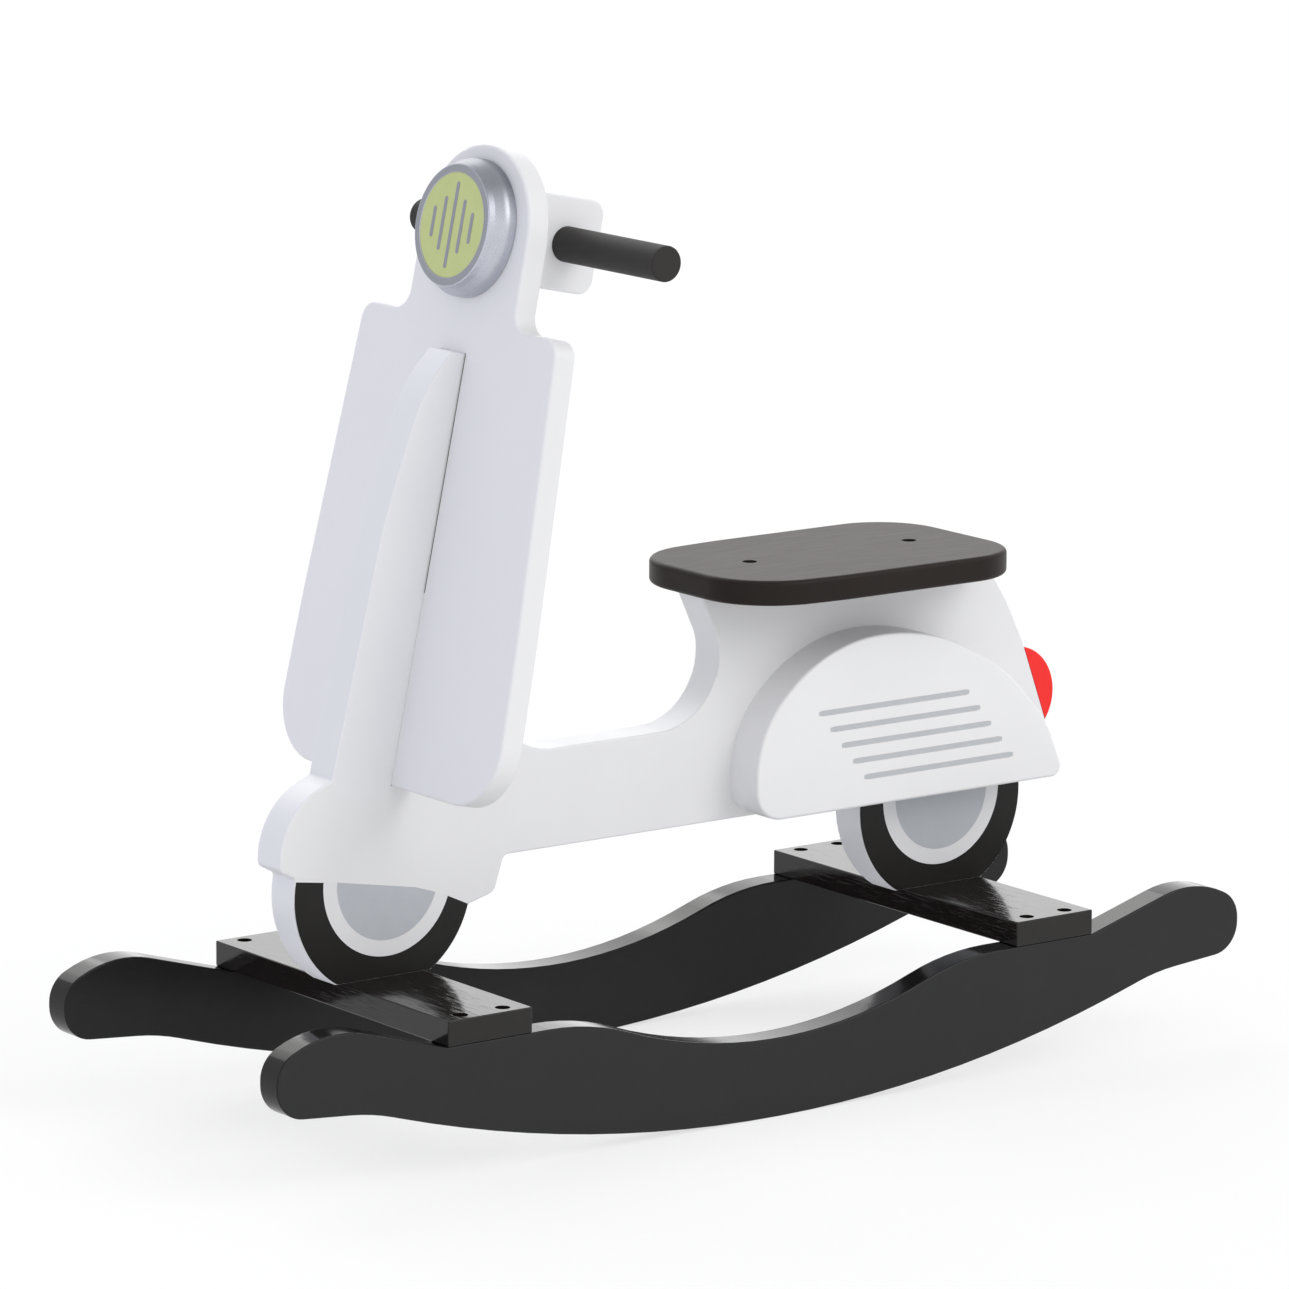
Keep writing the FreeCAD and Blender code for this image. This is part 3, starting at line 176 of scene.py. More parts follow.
# Finishes
def satin_white(name, tone, shaded_edge_tone, cloud_tone="#E9E9EC", shade_zone=()):
    """Sprayed satin paint on fibreboard: faint orange peel, and sawn edges that drink a little.

    The sawn edges are also painted a darker, cooler tone, partly as painted shade for edges that
    face away from the light. Side faces inside a shade zone are painted dark brown: painted shade
    for the unlit gap of a slot. The zone is the space that all its rows share; each row is a
    direction and the way from one place to another along it.
    """
    material, tree = new_material(name)
    place = place_in(tree)
    cloud = add(tree, "TexNoise", Vector=place, Scale=grain(55), Detail=3.0, Roughness=0.55)
    peel = add(tree, "TexNoise", Vector=place, Scale=grain(1.7), Detail=1.0, Roughness=0.4)
    fibre = add(tree, "TexNoise", Vector=place, Scale=grain(0.35), Roughness=0.6)
    cells = add(tree, "TexVoronoi", Vector=place, Scale=grain(14), Randomness=1.0)
    specks = add(tree, "ValToRGB", cells, stops=[(0.0, 1.0), (0.016, 1.0), (0.03, 0.0)])
    side = add(tree, "Math", facing(tree)["Y"], operation="ABSOLUTE")
    edge = sawn_edge(tree, side)
    tone = add(tree, "Mix", cloud, tone, cloud_tone, data_type="RGBA")
    # Painted shade: sawn edges take a darker, cooler tone, partly as the shade of edges facing away
    # from the light
    tone = lay_over(tree, edge, 0.55, tone, shaded_edge_tone)
    tone = lay_over(tree, specks, 0.10, tone, "#8E8B86")
    # Painted shade: side faces inside the slot are painted dark brown, as its unlit gap looks
    if shade_zone:
        slot_shade = add(tree, "Math", side, 0.9, operation="GREATER_THAN")
        for direction, low, high in shade_zone:
            way = add(tree, "VectorMath", place, direction, operation="DOT_PRODUCT")
            above = add(tree, "Math", way, low, operation="GREATER_THAN")
            below = add(tree, "Math", way, high, operation="LESS_THAN")
            slot_shade = add(tree, "Math", slot_shade, above, operation="MULTIPLY")
            slot_shade = add(tree, "Math", slot_shade, below, operation="MULTIPLY")
        tone = add(tree, "Mix", slot_shade, tone, "#3A342E", data_type="RGBA")
    gloss = add(tree, "ValToRGB", cloud, stops=[(0.3, 0.34), (0.7, 0.43)])
    drunk = add(tree, "Math", fibre, edge, operation="MULTIPLY")
    finish(tree, Base_Color=tone, Roughness=gloss, Normal=bumps(tree, (peel, 0.010), (drunk, 0.03)),
           Specular_IOR_Level=0.45)
    return material


def satin_black(name, tone, worn_tone, roughness, stretch=(1, 1, 1), specular=0.2, rim_shade_tone=None):
    """Black paint brushed on wood, with faint rubbed spots and dust.

    A rim_shade_tone is for a board on edge: its sawn edges were rubbed down and took a glossier
    coat, and are painted darker, partly as painted shade.
    """
    material, tree = new_material(name)
    place = place_in(tree)
    strokes = add(tree, "TexNoise", Vector=place_in(tree, stretch), Scale=grain(3), Detail=3.0,
                  Roughness=0.6)
    cloud = add(tree, "TexNoise", Vector=place, Scale=grain(40), Detail=3.0, Roughness=0.6)
    dust = add(tree, "TexNoise", Vector=place, Scale=grain(0.9), Roughness=0.7)
    rubbed = add(tree, "ValToRGB", cloud, stops=[(0.52, 0.0), (0.74, 1.0)])
    specks = add(tree, "ValToRGB", dust, stops=[(0.70, 0.0), (0.76, 1.0)])
    tone = lay_over(tree, rubbed, 0.35, tone, worn_tone)
    tone = lay_over(tree, specks, 0.16, tone, "#77736E")
    gloss = add(tree, "Mix", strokes, roughness - 0.05, roughness + 0.08, data_type="RGBA")
    # Partly painted shade: sawn edges get a darker tone as well as a glossier coat
    if rim_shade_tone is not None:
        rim = sawn_edge(tree, add(tree, "Math", facing(tree)["Y"], operation="ABSOLUTE"))
        tone = add(tree, "Mix", rim, tone, rim_shade_tone, data_type="RGBA")
        gloss = add(tree, "Mix", rim, gloss, 0.13, data_type="RGBA")
    finish(tree, Base_Color=tone, Roughness=gloss, Normal=bumps(tree, (strokes, 0.02), (dust, 0.004)),
           Specular_IOR_Level=specular)
    return material


def lacquered_plank(name, tone):
    """Black gloss lacquer over open-pored wood: long pores across the toy show in the gloss."""
    material, tree = new_material(name)
    along = place_in(tree, (1.0, 0.055, 1.0))
    pores = add(tree, "TexNoise", Vector=along, Scale=grain(1.1), Detail=3.0, Roughness=0.65)
    rings = add(tree, "TexNoise", Vector=along, Scale=grain(7), Distortion=0.6)
    cloud = add(tree, "TexNoise", Vector=place_in(tree), Scale=grain(30))
    deep = add(tree, "ValToRGB", pores, stops=[(0.30, 0.0), (0.46, 1.0)])
    tone = add(tree, "Mix", rings, tone, "#1E1B19", data_type="RGBA")
    tone = lay_over(tree, cloud, 0.2, tone, "#2A2624")
    gloss = add(tree, "Mix", deep, 0.28, 0.10, data_type="RGBA")
    relief = bumps(tree, (deep, 0.02), (rings, 0.06))
    finish(tree, Base_Color=tone, Coat_Roughness=gloss, Normal=relief, Coat_Normal=relief,
           Roughness=0.4, Specular_IOR_Level=0.0, Coat_Weight=1.0, Coat_IOR=1.4)
    return material


def seat_lacquer(name, tone):
    """Dark brown satin lacquer, with the fine scratches that a seat collects on its top."""
    material, tree = new_material(name)
    grain_lines = add(tree, "TexNoise", Vector=place_in(tree, (0.08, 1.0, 1.0)), Scale=grain(2.2),
                      Detail=3.0, Roughness=0.6)
    cloud = add(tree, "TexNoise", Vector=place_in(tree), Scale=grain(45), Detail=3.0, Roughness=0.6)
    scratches = []
    for turn, width in ((0.35, 0.9), (-0.9, 1.4)):
        lines = add(tree, "TexNoise", Vector=place_in(tree, (0.02, 1, 1), turn), Scale=grain(width),
                    Detail=1.0, Roughness=0.4)
        scratches.append(add(tree, "ValToRGB", lines, stops=[(0.735, 0.0), (0.76, 1.0)]))
    upward = add(tree, "Math", facing(tree)["Z"], 0.98, operation="GREATER_THAN")
    marks = add(tree, "Mix", 1.0, *scratches, data_type="RGBA", blend_type="ADD")
    marks = add(tree, "Math", marks, upward, operation="MULTIPLY")
    tone = add(tree, "Mix", cloud, tone, "#2C2623", data_type="RGBA")
    tone = lay_over(tree, marks, 0.16, tone, "#8A817A")
    gloss = add(tree, "Mix", grain_lines, 0.40, 0.50, data_type="RGBA")
    finish(tree, Base_Color=tone, Roughness=gloss,
           Normal=bumps(tree, (grain_lines, 0.015), (marks, 0.01)), Specular_IOR_Level=0.12,
           Sheen_Weight=0.09, Sheen_Roughness=0.3, Sheen_Tint="#C0A08C")
    return material


def gloss_colour(name, tone, deep_tone, roughness, specular=0.5):
    """Enamel brushed on turned or sawn wood: slight flow marks, with the tone deeper in places."""
    material, tree = new_material(name)
    place = place_in(tree)
    flow = add(tree, "TexNoise", Vector=place, Scale=grain(9), Detail=3.0)
    peel = add(tree, "TexNoise", Vector=place, Scale=grain(1.2), Detail=1.0, Roughness=0.4)
    tone = add(tree, "Mix", flow, tone, deep_tone, data_type="RGBA")
    gloss = add(tree, "Mix", flow, roughness - 0.04, roughness + 0.06, data_type="RGBA")
    finish(tree, Base_Color=tone, Roughness=gloss, Normal=bumps(tree, (flow, 0.02), (peel, 0.006)),
           Specular_IOR_Level=specular)
    return material


def silver_paint(name, tone):
    """Silver metallic paint on turned wood: flakes finer than a millimetre and a few soft clouds.

    The raised ring's flat face is painted a duller grey, and slopes that face up, with those that
    face down by a little, are painted darker: painted shade for the dark reflections these faces show.
    """
    material, tree = new_material(name)
    place = place_in(tree)
    flakes = add(tree, "TexNoise", Vector=place, Scale=grain(0.45), Detail=1.0)
    cloud = add(tree, "TexNoise", Vector=place, Scale=grain(20))
    sparkle = add(tree, "ValToRGB", flakes, stops=[(0.35, tone), (0.68, "#D8DBE3")])
    tone = lay_over(tree, cloud, 0.3, sparkle, "#8E9095")
    towards = facing(tree)
    # Painted shade: up-facing slopes, and down-facing ones a little, are painted darker
    slope = add(tree, "Math", towards["Z"], 0.5, operation="MULTIPLY")
    slope = add(tree, "Math", slope, 0.5, operation="ADD")
    thin = add(tree, "ValToRGB", slope, stops=[(0.10, 0.22), (0.35, 0.0), (0.62, 0.0), (0.85, 1.0)])
    tone = lay_over(tree, thin, 0.68, tone, "#555860")
    # Painted shade: the flat front face of the ring is painted a duller grey
    flat = add(tree, "ValToRGB", towards["X"], stops=[(0.955, 0.0), (0.972, 1.0)])
    tone = lay_over(tree, flat, 0.8, tone, "#84878F")
    gloss = add(tree, "ValToRGB", flakes, stops=[(0.3, 0.30), (0.7, 0.40)])
    finish(tree, Base_Color=tone, Roughness=gloss, Normal=bumps(tree, (flakes, 0.004)), Metallic=0.7)
    return material


def screw_steel(name, tone, roughness, metallic):
    """Plated or blackened steel: a fine machined skin and a few dull spots."""
    material, tree = new_material(name)
    place = place_in(tree)
    dull = add(tree, "TexNoise", Vector=place, Scale=grain(2), Roughness=0.6)
    fine = add(tree, "TexNoise", Vector=place, Scale=grain(0.25), Detail=1.0)
    tone = add(tree, "Mix", dull, tone, "#6F6F70", data_type="RGBA")
    gloss = add(tree, "Mix", dull, roughness, roughness + 0.2, data_type="RGBA")
    finish(tree, Base_Color=tone, Roughness=gloss, Normal=bumps(tree, (fine, 0.003)), Metallic=metallic)
    return material


def bare_beech(name):
    """Bare beech dowel: pale, with short darker flecks along the grain."""
    material, tree = new_material(name)
    flecks = add(tree, "TexNoise", Vector=place_in(tree, (1, 0.1, 1)), Scale=grain(0.8), Detail=3.0,
                 Roughness=0.6)
    tone = add(tree, "ValToRGB", flecks, stops=[(0.3, "#B98B5C"), (0.7, "#D8B384")])
    finish(tree, Base_Color=tone, Normal=bumps(tree, (flecks, 0.03)), Roughness=0.6)
    return material


# Surfaces
def leaning(lean):
    """Directions out of the shield's front face and up along it."""
    return (np.array([math.cos(lean), 0, math.sin(lean)]),
            np.array([-math.sin(lean), 0, math.cos(lean)]))


def arc(share, count):
    """Angles over that share of a half circle, so that a sheet's ends keep some height."""
    return np.linspace(-share, share, count) * np.pi / 2


def flip_if_inside_out(mesh):
    """Turn the faces round where the closed mesh has a negative volume.

    The volume is a sixth of the sum of a . (b x c) over all triangles with the corners a, b and c.
    """
    mesh.calc_loop_triangles()
    points = np.empty(len(mesh.vertices) * 3)
    mesh.vertices.foreach_get("co", points)
    points = points.reshape(-1, 3)
    corners = np.empty(len(mesh.loop_triangles) * 3, int)
    mesh.loop_triangles.foreach_get("vertices", corners)
    a, b, c = (points[corners.reshape(-1, 3)[:, k]] for k in range(3))
    if np.einsum("ij,ij->i", a, np.cross(b, c)).sum() < 0:
        mesh.flip_normals()


def grid_sheet(name, front, back):
    """A closed sheet between two equal grids of points.

    front and back have the shape (rows, columns, 3). The faces are the cells of both grids, the back
    ones wound the other way, and a strip along the rim that joins the two.
    """
    rows, columns = front.shape[:2]
    points = np.concatenate([front.reshape(-1, 3), back.reshape(-1, 3)])
    index = np.arange(rows * columns).reshape(rows, columns)
    cells = np.stack([index[:-1, :-1], index[1:, :-1], index[1:, 1:], index[:-1, 1:]], -1)
    cells = cells.reshape(-1, 4)
    rim = np.concatenate([index[0, :], index[1:, -1], index[-1, -2::-1], index[-2:0:-1, 0]])
    after = np.roll(rim, -1)
    offset = rows * columns
    strip = np.stack([rim, after, after + offset, rim + offset], -1)
    faces = np.concatenate([cells, cells[:, ::-1] + offset, strip])
    mesh = bpy.data.meshes.new(name)
    mesh.from_pydata(points.tolist(), [], faces.tolist())
    mesh.validate()
    flip_if_inside_out(mesh)
    sheet = bpy.data.objects.new(name, mesh)
    bpy.context.scene.collection.objects.link(sheet)
    return sheet


def dress(piece, material):
    """Give a piece its material, and let it ride with the toy."""
    piece.data.materials.append(material)
    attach(piece, "root")


def film_on_side(name, across, low, high, face, thick, sign, material):
    """A paint film on a board's side face.

    For each position x in across it reaches from low to high in Z: its point at the share v is at
    z = low(x) + v * (high(x) - low(x)), and it stands thick proud of the face.
    """
    share = np.linspace(0, 1, 9)[:, None]
    x = np.repeat(across[None, :], len(share), 0)
    z = low * (1 - share) + high * share
    front = np.stack([x, np.full_like(x, sign * (face + thick)), z], -1)
    back = front.copy()
    back[..., 1] = sign * (face - FILM_SINK)
    dress(grid_sheet(name, front, back), material)


def bar_on_face(name, centre, out, up, across, length, width, proud, material):
    """A bar with round ends on a leaning face.

    Its point at the angle a across it and the share v along it, which goes from -1 to 1, is
    centre + (across + width / 2 * sin a) * Y + v * (length / 2 - width / 2 + width / 2 * cos a) * up.
    """
    radius = width / 2
    angle = arc(share=0.96, count=13)
    reach = length / 2 - radius + radius * np.cos(angle)
    along = np.linspace(-1, 1, 15)[:, None] * reach
    sideways = across + np.repeat(radius * np.sin(angle)[None, :], len(along), 0)
    flat = centre + along[..., None] * up + sideways[..., None] * np.array([0, 1.0, 0])
    dress(grid_sheet(name, flat + out * proud, flat - out * FILM_SINK), material)


# Settings
def length_of(name, description, millimetres):
    """A length that the user may change."""
    return bpy.props.FloatProperty(name=name, description=description, default=millimetres * MM,
                                   unit="LENGTH")


def spot_of(name, description, x, z):
    """A place or a step along X and up, in millimetres, that the user may change."""
    return bpy.props.FloatVectorProperty(name=name, description=description, size=2,
                                         default=(x * MM, z * MM), unit="LENGTH")


def angle_of(name, description, degrees):
    """An angle that the user may change."""
    return bpy.props.FloatProperty(name=name, description=description, default=math.radians(degrees),
                                   subtype="ANGLE")


def strength_of(name, description, strength):
    """A light's strength that the user may change."""
    return bpy.props.FloatProperty(name=name, description=description, default=strength, min=0.0)


def paint_of(name, description, code):
    """A colour that the user may change, from its sRGB hex value."""
    return bpy.props.FloatVectorProperty(name=name, description=description, subtype="COLOR", size=3,
                                         min=0.0, max=1.0, default=colour(code)[:3])


class ROCKER_PG_paints(bpy.types.PropertyGroup):
    """Main tones of the paints and lacquers."""

    # One white paint on the real toy: the shield's white is a little darker and the cowls' a little
    # lighter, as painted shade and painted light for how light falls on them
    board: paint_of("Silhouette board", "White of the silhouette board and the cleats", "#F2F2F3")
    shield: paint_of("Shield", "White of the leaning shield", "#F0F0F2")
    cowl: paint_of("Cowls", "White of the side cowls and the handles' block", "#F6F6F7")
    near: paint_of("Left rocker", "Black of the left rocker", "#2B2B2C")
    # Painted shade: the right rocker has the same black paint, painted darker for the shade it stands
    # in
    far: paint_of("Right rocker", "Black of the right rocker", "#212122")
    plank: paint_of("Planks", "Lacquer of the planks", "#12100F")
    seat: paint_of("Seat", "Lacquer of the seat", "#241F1D")
    handle: paint_of("Handles", "Black of the handles", "#333130")
    silver: paint_of("Bezel", "Silver of the headlamp's bezel", "#BDC0CA")
    lamp: paint_of("Headlamp", "Green of the headlamp's face", "#C6D08D")
    bars: paint_of("Lamp bars", "Grey of the bars on the headlamp", "#9497A0")
    tail: paint_of("Tail lamp", "Red of the tail lamp", "#FF3632")
    tyre: paint_of("Tyre", "Black of the tyres", "#191716")
    band: paint_of("White band", "White of the wheels' bands", "#F1F1F3")
    hub: paint_of("Hub", "Grey of the wheels' hubs", "#C2C6CC")
    stripes: paint_of("Stripes", "Grey of the cowls' stripes", "#C6C9CC")


class ROCKER_PG_shield(bpy.types.PropertyGroup):
    """Leaning shield, with the slot that the silhouette board sits in."""

    lean: angle_of("Lean", "Lean towards the rear", 12)
    foot: spot_of("Foot", "Front face's lower edge, along X and above the planks", 213.0, 118.5)
    thick: length_of("Thickness", "Thickness of the shield", 16.0)
    slot_top: length_of("Slot", "Height of the slot above the foot", 267.0)
    slot_half: length_of("Slot's half width", "Half of the slot, with room", 14.0)
    # Where the painted shade in the slot starts, in from the shield's faces and its foot
    rim: length_of("Painted rim", "How far paint reaches into the slot", 0.2)


class ROCKER_PG_wheels(bpy.types.PropertyGroup):
    """Painted wheels, on both sides of the silhouette board."""

    tyre: length_of("Tyre", "Outer radius of the tyre paint", 65.3)
    band: length_of("White band", "Outer radius of the white band", 47.3)
    hub: length_of("Hub", "Radius of the grey hub", 37.3)
    front_tyre: spot_of("Front tyre", "Its centre, along X and above the planks", 218.2, 55.5)
    front_hub: spot_of("Front hub", "Its centre and the white band's", 215.3, 60.2)
    rear_tyre: spot_of("Rear tyre", "Its centre, along X and above the planks", -216.0, 55.5)
    rear_hub: spot_of("Rear hub", "Its centre and the white band's", -216.7, 60.4)
    rear_top: length_of("Rear top", "Height of the rear wheel's paint, behind the cowls", 66.0)
    foot: length_of("Foot", "Lower edge of the paint above the plank", 0.05)
    lowest: length_of("Lowest strip", "Paint that is less high than this is left out", 0.3)
    film: length_of("Film", "Thickness of one coat of paint", 0.06)


class ROCKER_PG_stripes(bpy.types.PropertyGroup):
    """Grey stripes on the cowls."""

    count: bpy.props.IntProperty(name="Stripes", description="Number of stripes", default=5, min=1)
    length: length_of("Length", "Length of a stripe", 121.3)
    height: length_of("Height", "Height of a stripe", 3.6)
    end: bpy.props.FloatProperty(name="End", description="Share of its height at a stripe's ends",
                                 default=0.7, min=0.1, max=1.0, subtype="FACTOR")
    start: spot_of("First end", "Front end of the top stripe, along X and above the planks",
                   -95.0, 130.9)
    step: spot_of("Step", "From one stripe to the next, along X and up", -9.2, -11.3)
    film: length_of("Film", "Thickness of the paint", 0.08)


class ROCKER_PG_lamp(bpy.types.PropertyGroup):
    """Bars on the headlamp's face."""

    disc: length_of("Disc", "Thickness of the green disc that carries the bars", 3.0)
    spacing: length_of("Spacing", "From one bar to the next", 9.75)
    width: length_of("Width", "Width of a bar", 3.0)
    longest: length_of("Longest", "Length of the middle bar", 53.0)
    middle: length_of("Middle", "Length of the bars beside it", 33.0)
    shortest: length_of("Shortest", "Length of the outer bars", 19.0)
    film: length_of("Film", "How far the bars stand out of the disc", 0.15)


class ROCKER_PG_studio(bpy.types.PropertyGroup):
    """Camera, lights and floor."""

    azimuth: angle_of("Azimuth", "Viewing direction round the toy", 143.41)
    elevation: angle_of("Elevation", "Height of the view", 11.28)
    roll: angle_of("Roll", "Turn of the frame", 0.28)
    distance: length_of("Distance", "Camera to the point looked at", 4620)
    target: bpy.props.FloatVectorProperty(name="Target", description="The point looked at", size=3,
                                          default=(0.0120, 0.0, 0.2782), unit="LENGTH")
    lens: bpy.props.FloatProperty(name="Lens", description="Focal length in millimetres",
                                  default=207.0, unit="CAMERA")
    room: strength_of("Room", "Strength of the room's light", 0.745)
    key: strength_of("Key", "Strength of the high main light", 0.76)
    fill: strength_of("Fill", "Strength of the cool light on the front", 0.24)
    back: strength_of("Back", "Strength of the light behind the toy", 0.6)
    backdrop: strength_of("Backdrop", "Strength of the low light from the bright backdrop", 0.32)
    spread: angle_of("Spread", "Angle that a light fills, for soft shadows", 38)
    glow: strength_of("Glow", "What the floor adds to its own light where it is seen", 0.70)
    floor_half: length_of("Floor", "Half of the floor's width", 6000)
    floor_thick: length_of("Slab", "Thickness of the floor", 20)


SETTINGS = {
    "rocker_paints": ROCKER_PG_paints,
    "rocker_shield": ROCKER_PG_shield,
    "rocker_wheels": ROCKER_PG_wheels,
    "rocker_stripes": ROCKER_PG_stripes,
    "rocker_lamp": ROCKER_PG_lamp,
    "rocker_studio": ROCKER_PG_studio,
}


# Operators
class ROCKER_OT_boards(bpy.types.Operator):
    """Give every packed board, dowel and screw the finish of the real one"""

    bl_idname = "rocker.boards"
    bl_label = "Finish boards"

    def execute(self, context):
        paints = context.scene.rocker_paints
        sizes = context.scene.rocker_shield
        out, up = leaning(sizes.lean)
        foot = np.array([sizes.foot[0], 0, PLANK_TOP + sizes.foot[1]])
        face = foot @ out
        # Painted shade: the silhouette board is painted dark where it sits in the shield's slot, and so
        # are the shield's slot walls
        slot = ((out, face - sizes.thick + sizes.rim, face - sizes.rim),
                (up, foot @ up + sizes.rim, foot @ up + sizes.slot_top))
        wall_shade = (((0, 1, 0), -sizes.slot_half, sizes.slot_half),)
        # Painted light and shade: the shield and the cowls get their own tones of the same white, the
        # cowls' edges lighter than the board's
        white = satin_white("satin_white_fibreboard", paints.board, "#E0E1E6", "#ECECEE")
        board = satin_white("satin_white_silhouette", paints.board, "#E0E1E6", "#ECECEE", slot)
        shield = satin_white("satin_white_shield", paints.shield, "#E6E6E8", "#EBEBED", wall_shade)
        cowl = satin_white("satin_white_cowl", paints.cowl, "#EBEBEE", "#F0F0F2")
        along = (0.06, 1, 1)
        black = satin_black("satin_black_board", paints.near, "#302F31", 0.2, along, rim_shade_tone="#131212")
        # Painted shade: a darker copy of the rockers' black for the right rocker
        deep = satin_black("deep_black_board", paints.far, "#272628", 0.2, along, rim_shade_tone="#131212")
        by_slot = {
            "white_board": white,
            "white_batten": white,
            "seat_lacquer": seat_lacquer("brown_seat_lacquer", paints.seat),
            "plank_lacquer": lacquered_plank("black_lacquered_plank", paints.plank),
            "rocker_paint": black,
            "handle_paint": satin_black("matt_black_handle", paints.handle, "#3C3937", 0.58),
            "silver_paint": silver_paint("silver_metallic_paint", paints.silver),
            "lamp_face_paint": gloss_colour("light_green_lamp_face", paints.lamp, "#BDC782", 0.34),
            "red_paint": gloss_colour("red_enamel", paints.tail, "#F92D2A", 0.34, 0.2),
            "bare_wood": bare_beech("bare_beech_dowel"),
            "screw_black": screw_steel("blackened_screw", "#3A3A3B", 0.35, 0.8),
            "screw_bright": screw_steel("zinc_plated_screw", "#B9BABC", 0.3, 1.0),
        }
        own = {"body_board": board, "front_shield": shield, "cowl_left": cowl, "cowl_right": cowl,
               "handlebar_block": cowl, "rocker_right": deep}
        for row in frame["record"]["subparts"]:
            mesh = NODES[row["node"]].data
            mesh.materials.clear()
            mesh.materials.append(own.get(row["node"], by_slot[row["material_slot"]]))
        return {"FINISHED"}


class ROCKER_OT_wheels(bpy.types.Operator):
    """Paint tyre, white band and hub on both sides of both wheels"""

    bl_idname = "rocker.wheels"
    bl_label = "Paint wheels"

    def execute(self, context):
        paints = context.scene.rocker_paints
        sizes = context.scene.rocker_wheels
        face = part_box("body_board")[1].y
        rubber = satin_black("tyre_black_paint", paints.tyre, "#1F1D1C", 0.34, specular=0.25)
        band = satin_white("white_wall_paint", paints.band, "#F1F1F3")
        hub = gloss_colour("grey_hub_paint", paints.hub, "#BABEC4", 0.38)
        wheels = (("front", sizes.front_tyre, sizes.front_hub, FENDER_EDGE),
                  ("rear", sizes.rear_tyre, sizes.rear_hub, np.array([(0.0, sizes.rear_top)])))
        coats = (("tyre", sizes.tyre, rubber, "rocker_paint"),
                 ("band", sizes.band, band, "white_board"),
                 ("hub", sizes.hub, hub, "silver_paint"))
        angle = arc(share=0.995, count=121)
        for end, tyre_centre, hub_centre, edge in wheels:
            for coat, (label, radius, material, slot) in enumerate(coats, 1):
                # A disc reaches from centre - radius * cos a to centre + radius * cos a in Z, less
                # what the plank below it and the fender or cowl above it cut off
                centre = tyre_centre if label == "tyre" else hub_centre
                x = centre[0] + radius * np.sin(angle)
                reach = radius * np.cos(angle)
                top = np.minimum(centre[1] + reach, np.interp(x, edge[:, 0], edge[:, 1]))
                low = np.maximum(centre[1] - reach, sizes.foot)
                keep = top - low > sizes.lowest
                for side, sign in SIDES:
                    film_on_side(f"{end}_{label}_{side}", x[keep], low[keep] + PLANK_TOP,
                                 top[keep] + PLANK_TOP, face, sizes.film * coat, sign, material)
        return {"FINISHED"}


class ROCKER_OT_stripes(bpy.types.Operator):
    """Paint the grey stripes on both cowls"""

    bl_idname = "rocker.stripes"
    bl_label = "Paint stripes"

    def execute(self, context):
        sizes = context.scene.rocker_stripes
        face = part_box("cowl_left")[1].y
        grey = gloss_colour("grey_stripe_paint", context.scene.rocker_paints.stripes, "#BDC0C4", 0.36)
        for i in range(sizes.count):
            end = sizes.start[0] + i * sizes.step[0]
            middle = PLANK_TOP + sizes.start[1] + i * sizes.step[1]
            x = np.linspace(end - sizes.length, end, 41)
            half = np.full_like(x, sizes.height / 2)
            half[[0, -1]] *= sizes.end
            for side, sign in SIDES:
                film_on_side(f"stripe_{side}_{i + 1}", x, middle - half, middle + half, face,
                             sizes.film, sign, grey)
        return {"FINISHED"}


class ROCKER_OT_lamp(bpy.types.Operator):
    """Lay the five grey bars on the headlamp's face"""

    bl_idname = "rocker.lamp"
    bl_label = "Lay lamp bars"

    def execute(self, context):
        sizes = context.scene.rocker_lamp
        grey = gloss_colour("grey_lamp_bars", context.scene.rocker_paints.bars, "#888B94", 0.34)
        out, up = leaning(context.scene.rocker_shield.lean)
        low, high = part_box("headlamp_face")
        centre = np.array([(a + b) / 2 for a, b in zip(low, high)]) + out * sizes.disc / 2
        lengths = (sizes.shortest, sizes.middle, sizes.longest, sizes.middle, sizes.shortest)
        for i, length in enumerate(lengths):
            across = (i - len(lengths) // 2) * sizes.spacing
            bar_on_face(f"lamp_bar_{i + 1}", centre, out, up, across, length, sizes.width, sizes.film,
                        grey)
        return {"FINISHED"}


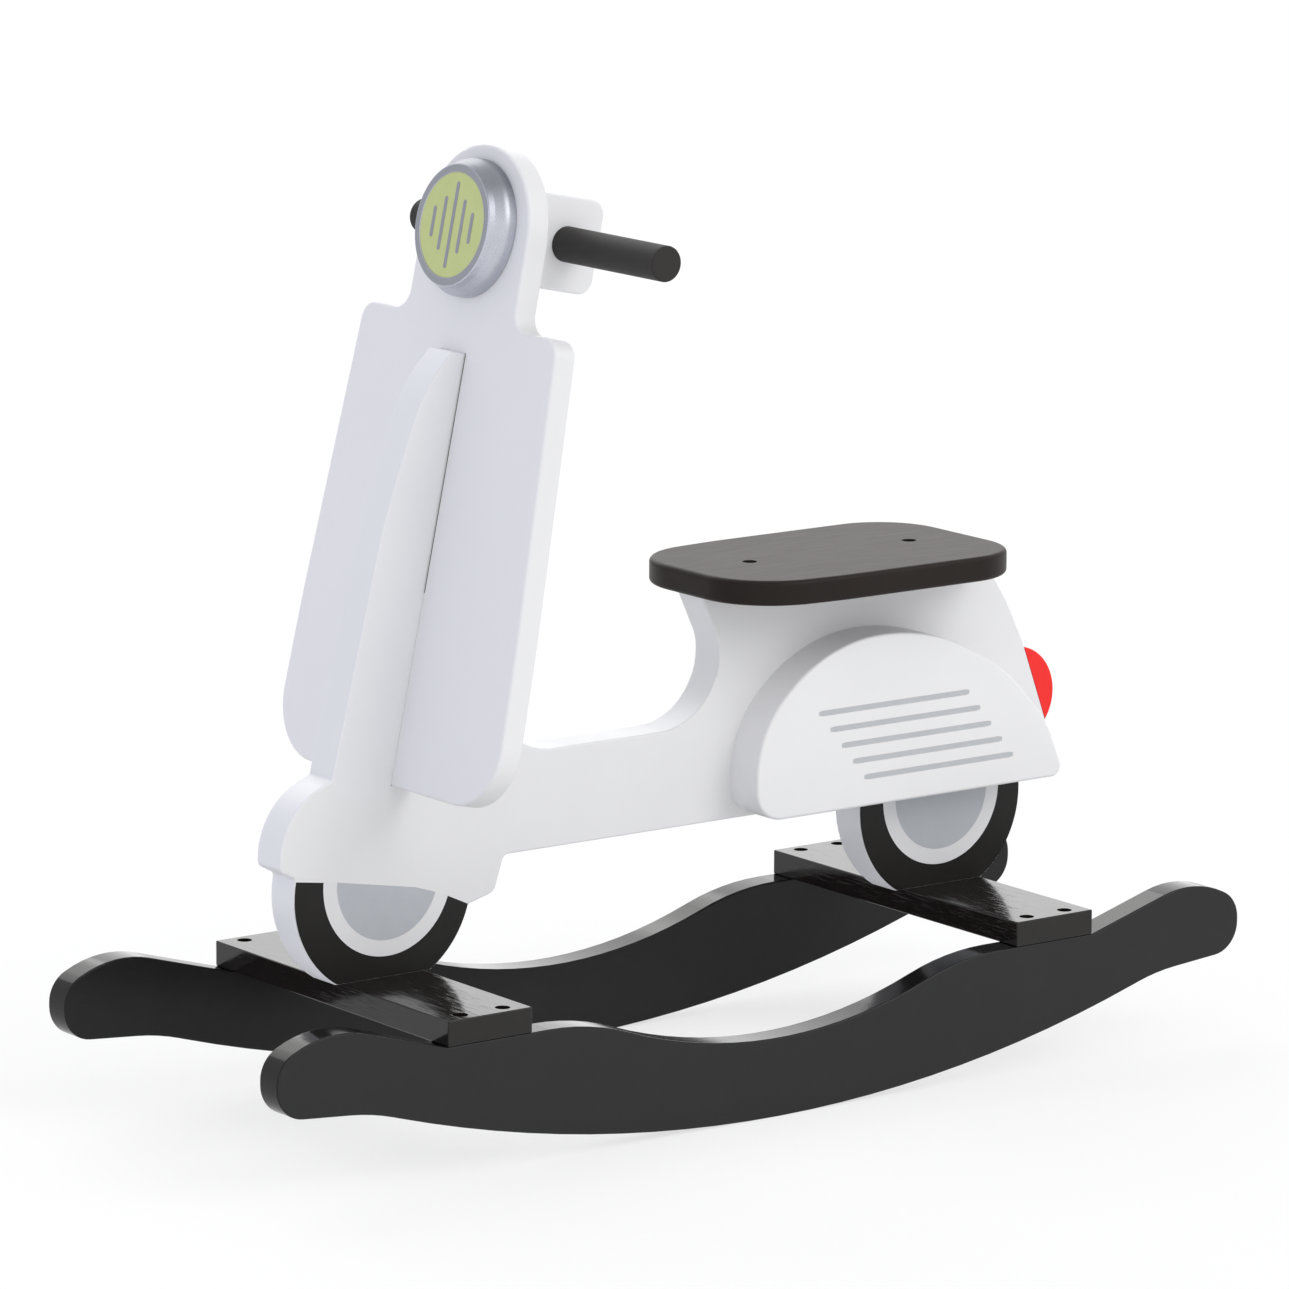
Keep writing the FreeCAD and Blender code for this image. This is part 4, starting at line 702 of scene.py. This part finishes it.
class ROCKER_OT_studio(bpy.types.Operator):
    """Set up the pale floor, the lights and the camera"""

    bl_idname = "rocker.studio"
    bl_label = "Build studio"

    def execute(self, context):
        scene = context.scene
        sizes = scene.rocker_studio
        self.lay_floor(sizes)
        self.light_room(scene, sizes)
        self.hang_lights(scene, sizes)
        self.place_camera(scene, sizes)
        scene.view_settings.view_transform = "Standard"
        return {"FINISHED"}

    def seen(self, tree):
        """1 where the camera, a gloss or a clear surface looks, and 0 where light is gathered."""
        rays = add(tree, "LightPath").outputs
        either = add(tree, "Math", rays["Is Camera Ray"], rays["Is Glossy Ray"], operation="MAXIMUM")
        return add(tree, "Math", either, rays["Is Transmission Ray"], operation="MAXIMUM")

    def lay_floor(self, sizes):
        """A pale floor: white where it is seen, but for the toy's shadow on it."""
        steps = np.linspace(-sizes.floor_half, sizes.floor_half, 3)
        x, y = np.meshgrid(steps, steps)
        top = np.stack([x, y, np.zeros_like(x)], -1)
        floor = grid_sheet("studio_floor", top, top - np.array([0, 0, sizes.floor_thick]))
        material, tree = new_material("pale_studio_floor")
        cloud = add(tree, "TexNoise", Vector=place_in(tree), Scale=grain(900))
        tone = add(tree, "Mix", cloud, "#F4F4F4", "#F0F0F0", data_type="RGBA")
        lit = add(tree, "BsdfDiffuse", Color=tone)
        shaded = add(tree, "BsdfDiffuse", Color="#959595")
        glow = add(tree, "Emission", Color="#FFFFFF", Strength=sizes.glow)
        both = add(tree, "AddShader", shaded, glow)
        surface = add(tree, "MixShader", self.seen(tree), lit, both)
        add(tree, "OutputMaterial", Surface=surface)
        floor.data.materials.append(material)

    def light_room(self, scene, sizes):
        """A world that lights the toy softly and is white where it is seen."""
        world = bpy.data.worlds.new("studio_room")
        scene.world = world
        world.use_nodes = True
        tree = world.node_tree
        tree.nodes.clear()
        room = add(tree, "Background", Color=ROOM_COLOUR, Strength=sizes.room)
        white = add(tree, "Background", Color="#FFFFFF", Strength=1.0)
        surface = add(tree, "MixShader", self.seen(tree), room, white)
        add(tree, "OutputWorld", Surface=surface)

    def hang_lights(self, scene, sizes):
        """Wide soft suns, each turned so that it shines from its direction."""
        for name, source, tint, strength in LIGHTS:
            sun = bpy.data.lights.new(name, "SUN")
            sun.angle = sizes.spread
            sun.energy = getattr(sizes, strength)
            sun.color = tint
            holder = bpy.data.objects.new(name, sun)
            holder.rotation_euler = Vector(source).to_track_quat("Z", "Y").to_euler()
            scene.collection.objects.link(holder)

    def place_camera(self, scene, sizes):
        """The camera: back from its target along the view, turned by the roll about that line."""
        a, e, r = sizes.azimuth, sizes.elevation, sizes.roll
        back = Vector((math.sin(a) * math.cos(e), -math.cos(a) * math.cos(e), math.sin(e)))
        right = Vector((math.cos(a), math.sin(a), 0))
        up = back.cross(right)
        right, up = right * math.cos(r) + up * math.sin(r), up * math.cos(r) - right * math.sin(r)
        data = bpy.data.cameras.new("camera")
        data.lens = sizes.lens
        data.sensor_fit = "HORIZONTAL"
        camera = bpy.data.objects.new("camera", data)
        turn = Matrix((right, up, back)).transposed().to_4x4()
        camera.matrix_world = Matrix.Translation(Vector(sizes.target) + back * sizes.distance) @ turn
        scene.collection.objects.link(camera)
        scene.camera = camera


OPERATORS = (ROCKER_OT_studio, ROCKER_OT_boards, ROCKER_OT_wheels, ROCKER_OT_stripes, ROCKER_OT_lamp)


class ROCKER_PT_panel(bpy.types.Panel):
    """Buttons and sizes in the sidebar"""

    bl_idname = "ROCKER_PT_panel"
    bl_label = "Rocking motorcycle"
    bl_space_type = "VIEW_3D"
    bl_region_type = "UI"
    bl_category = "Rocker"

    def draw(self, context):
        layout = self.layout
        for operator in OPERATORS:
            layout.operator(operator.bl_idname)
        for name, group in SETTINGS.items():
            box = layout.box()
            box.label(text=group.__doc__)
            for key in group.__annotations__:
                box.prop(getattr(context.scene, name), key)


CLASSES = tuple(SETTINGS.values()) + OPERATORS + (ROCKER_PT_panel,)


def register():
    for cls in CLASSES:
        bpy.utils.register_class(cls)
    for name, group in SETTINGS.items():
        setattr(bpy.types.Scene, name, bpy.props.PointerProperty(type=group))


def unregister():
    for name in SETTINGS:
        delattr(bpy.types.Scene, name)
    for cls in reversed(CLASSES):
        bpy.utils.unregister_class(cls)


def main():
    register()
    bpy.ops.rocker.studio()
    bpy.ops.rocker.boards()
    bpy.ops.rocker.wheels()
    bpy.ops.rocker.stripes()
    bpy.ops.rocker.lamp()


if __name__ == "__main__":
    main()
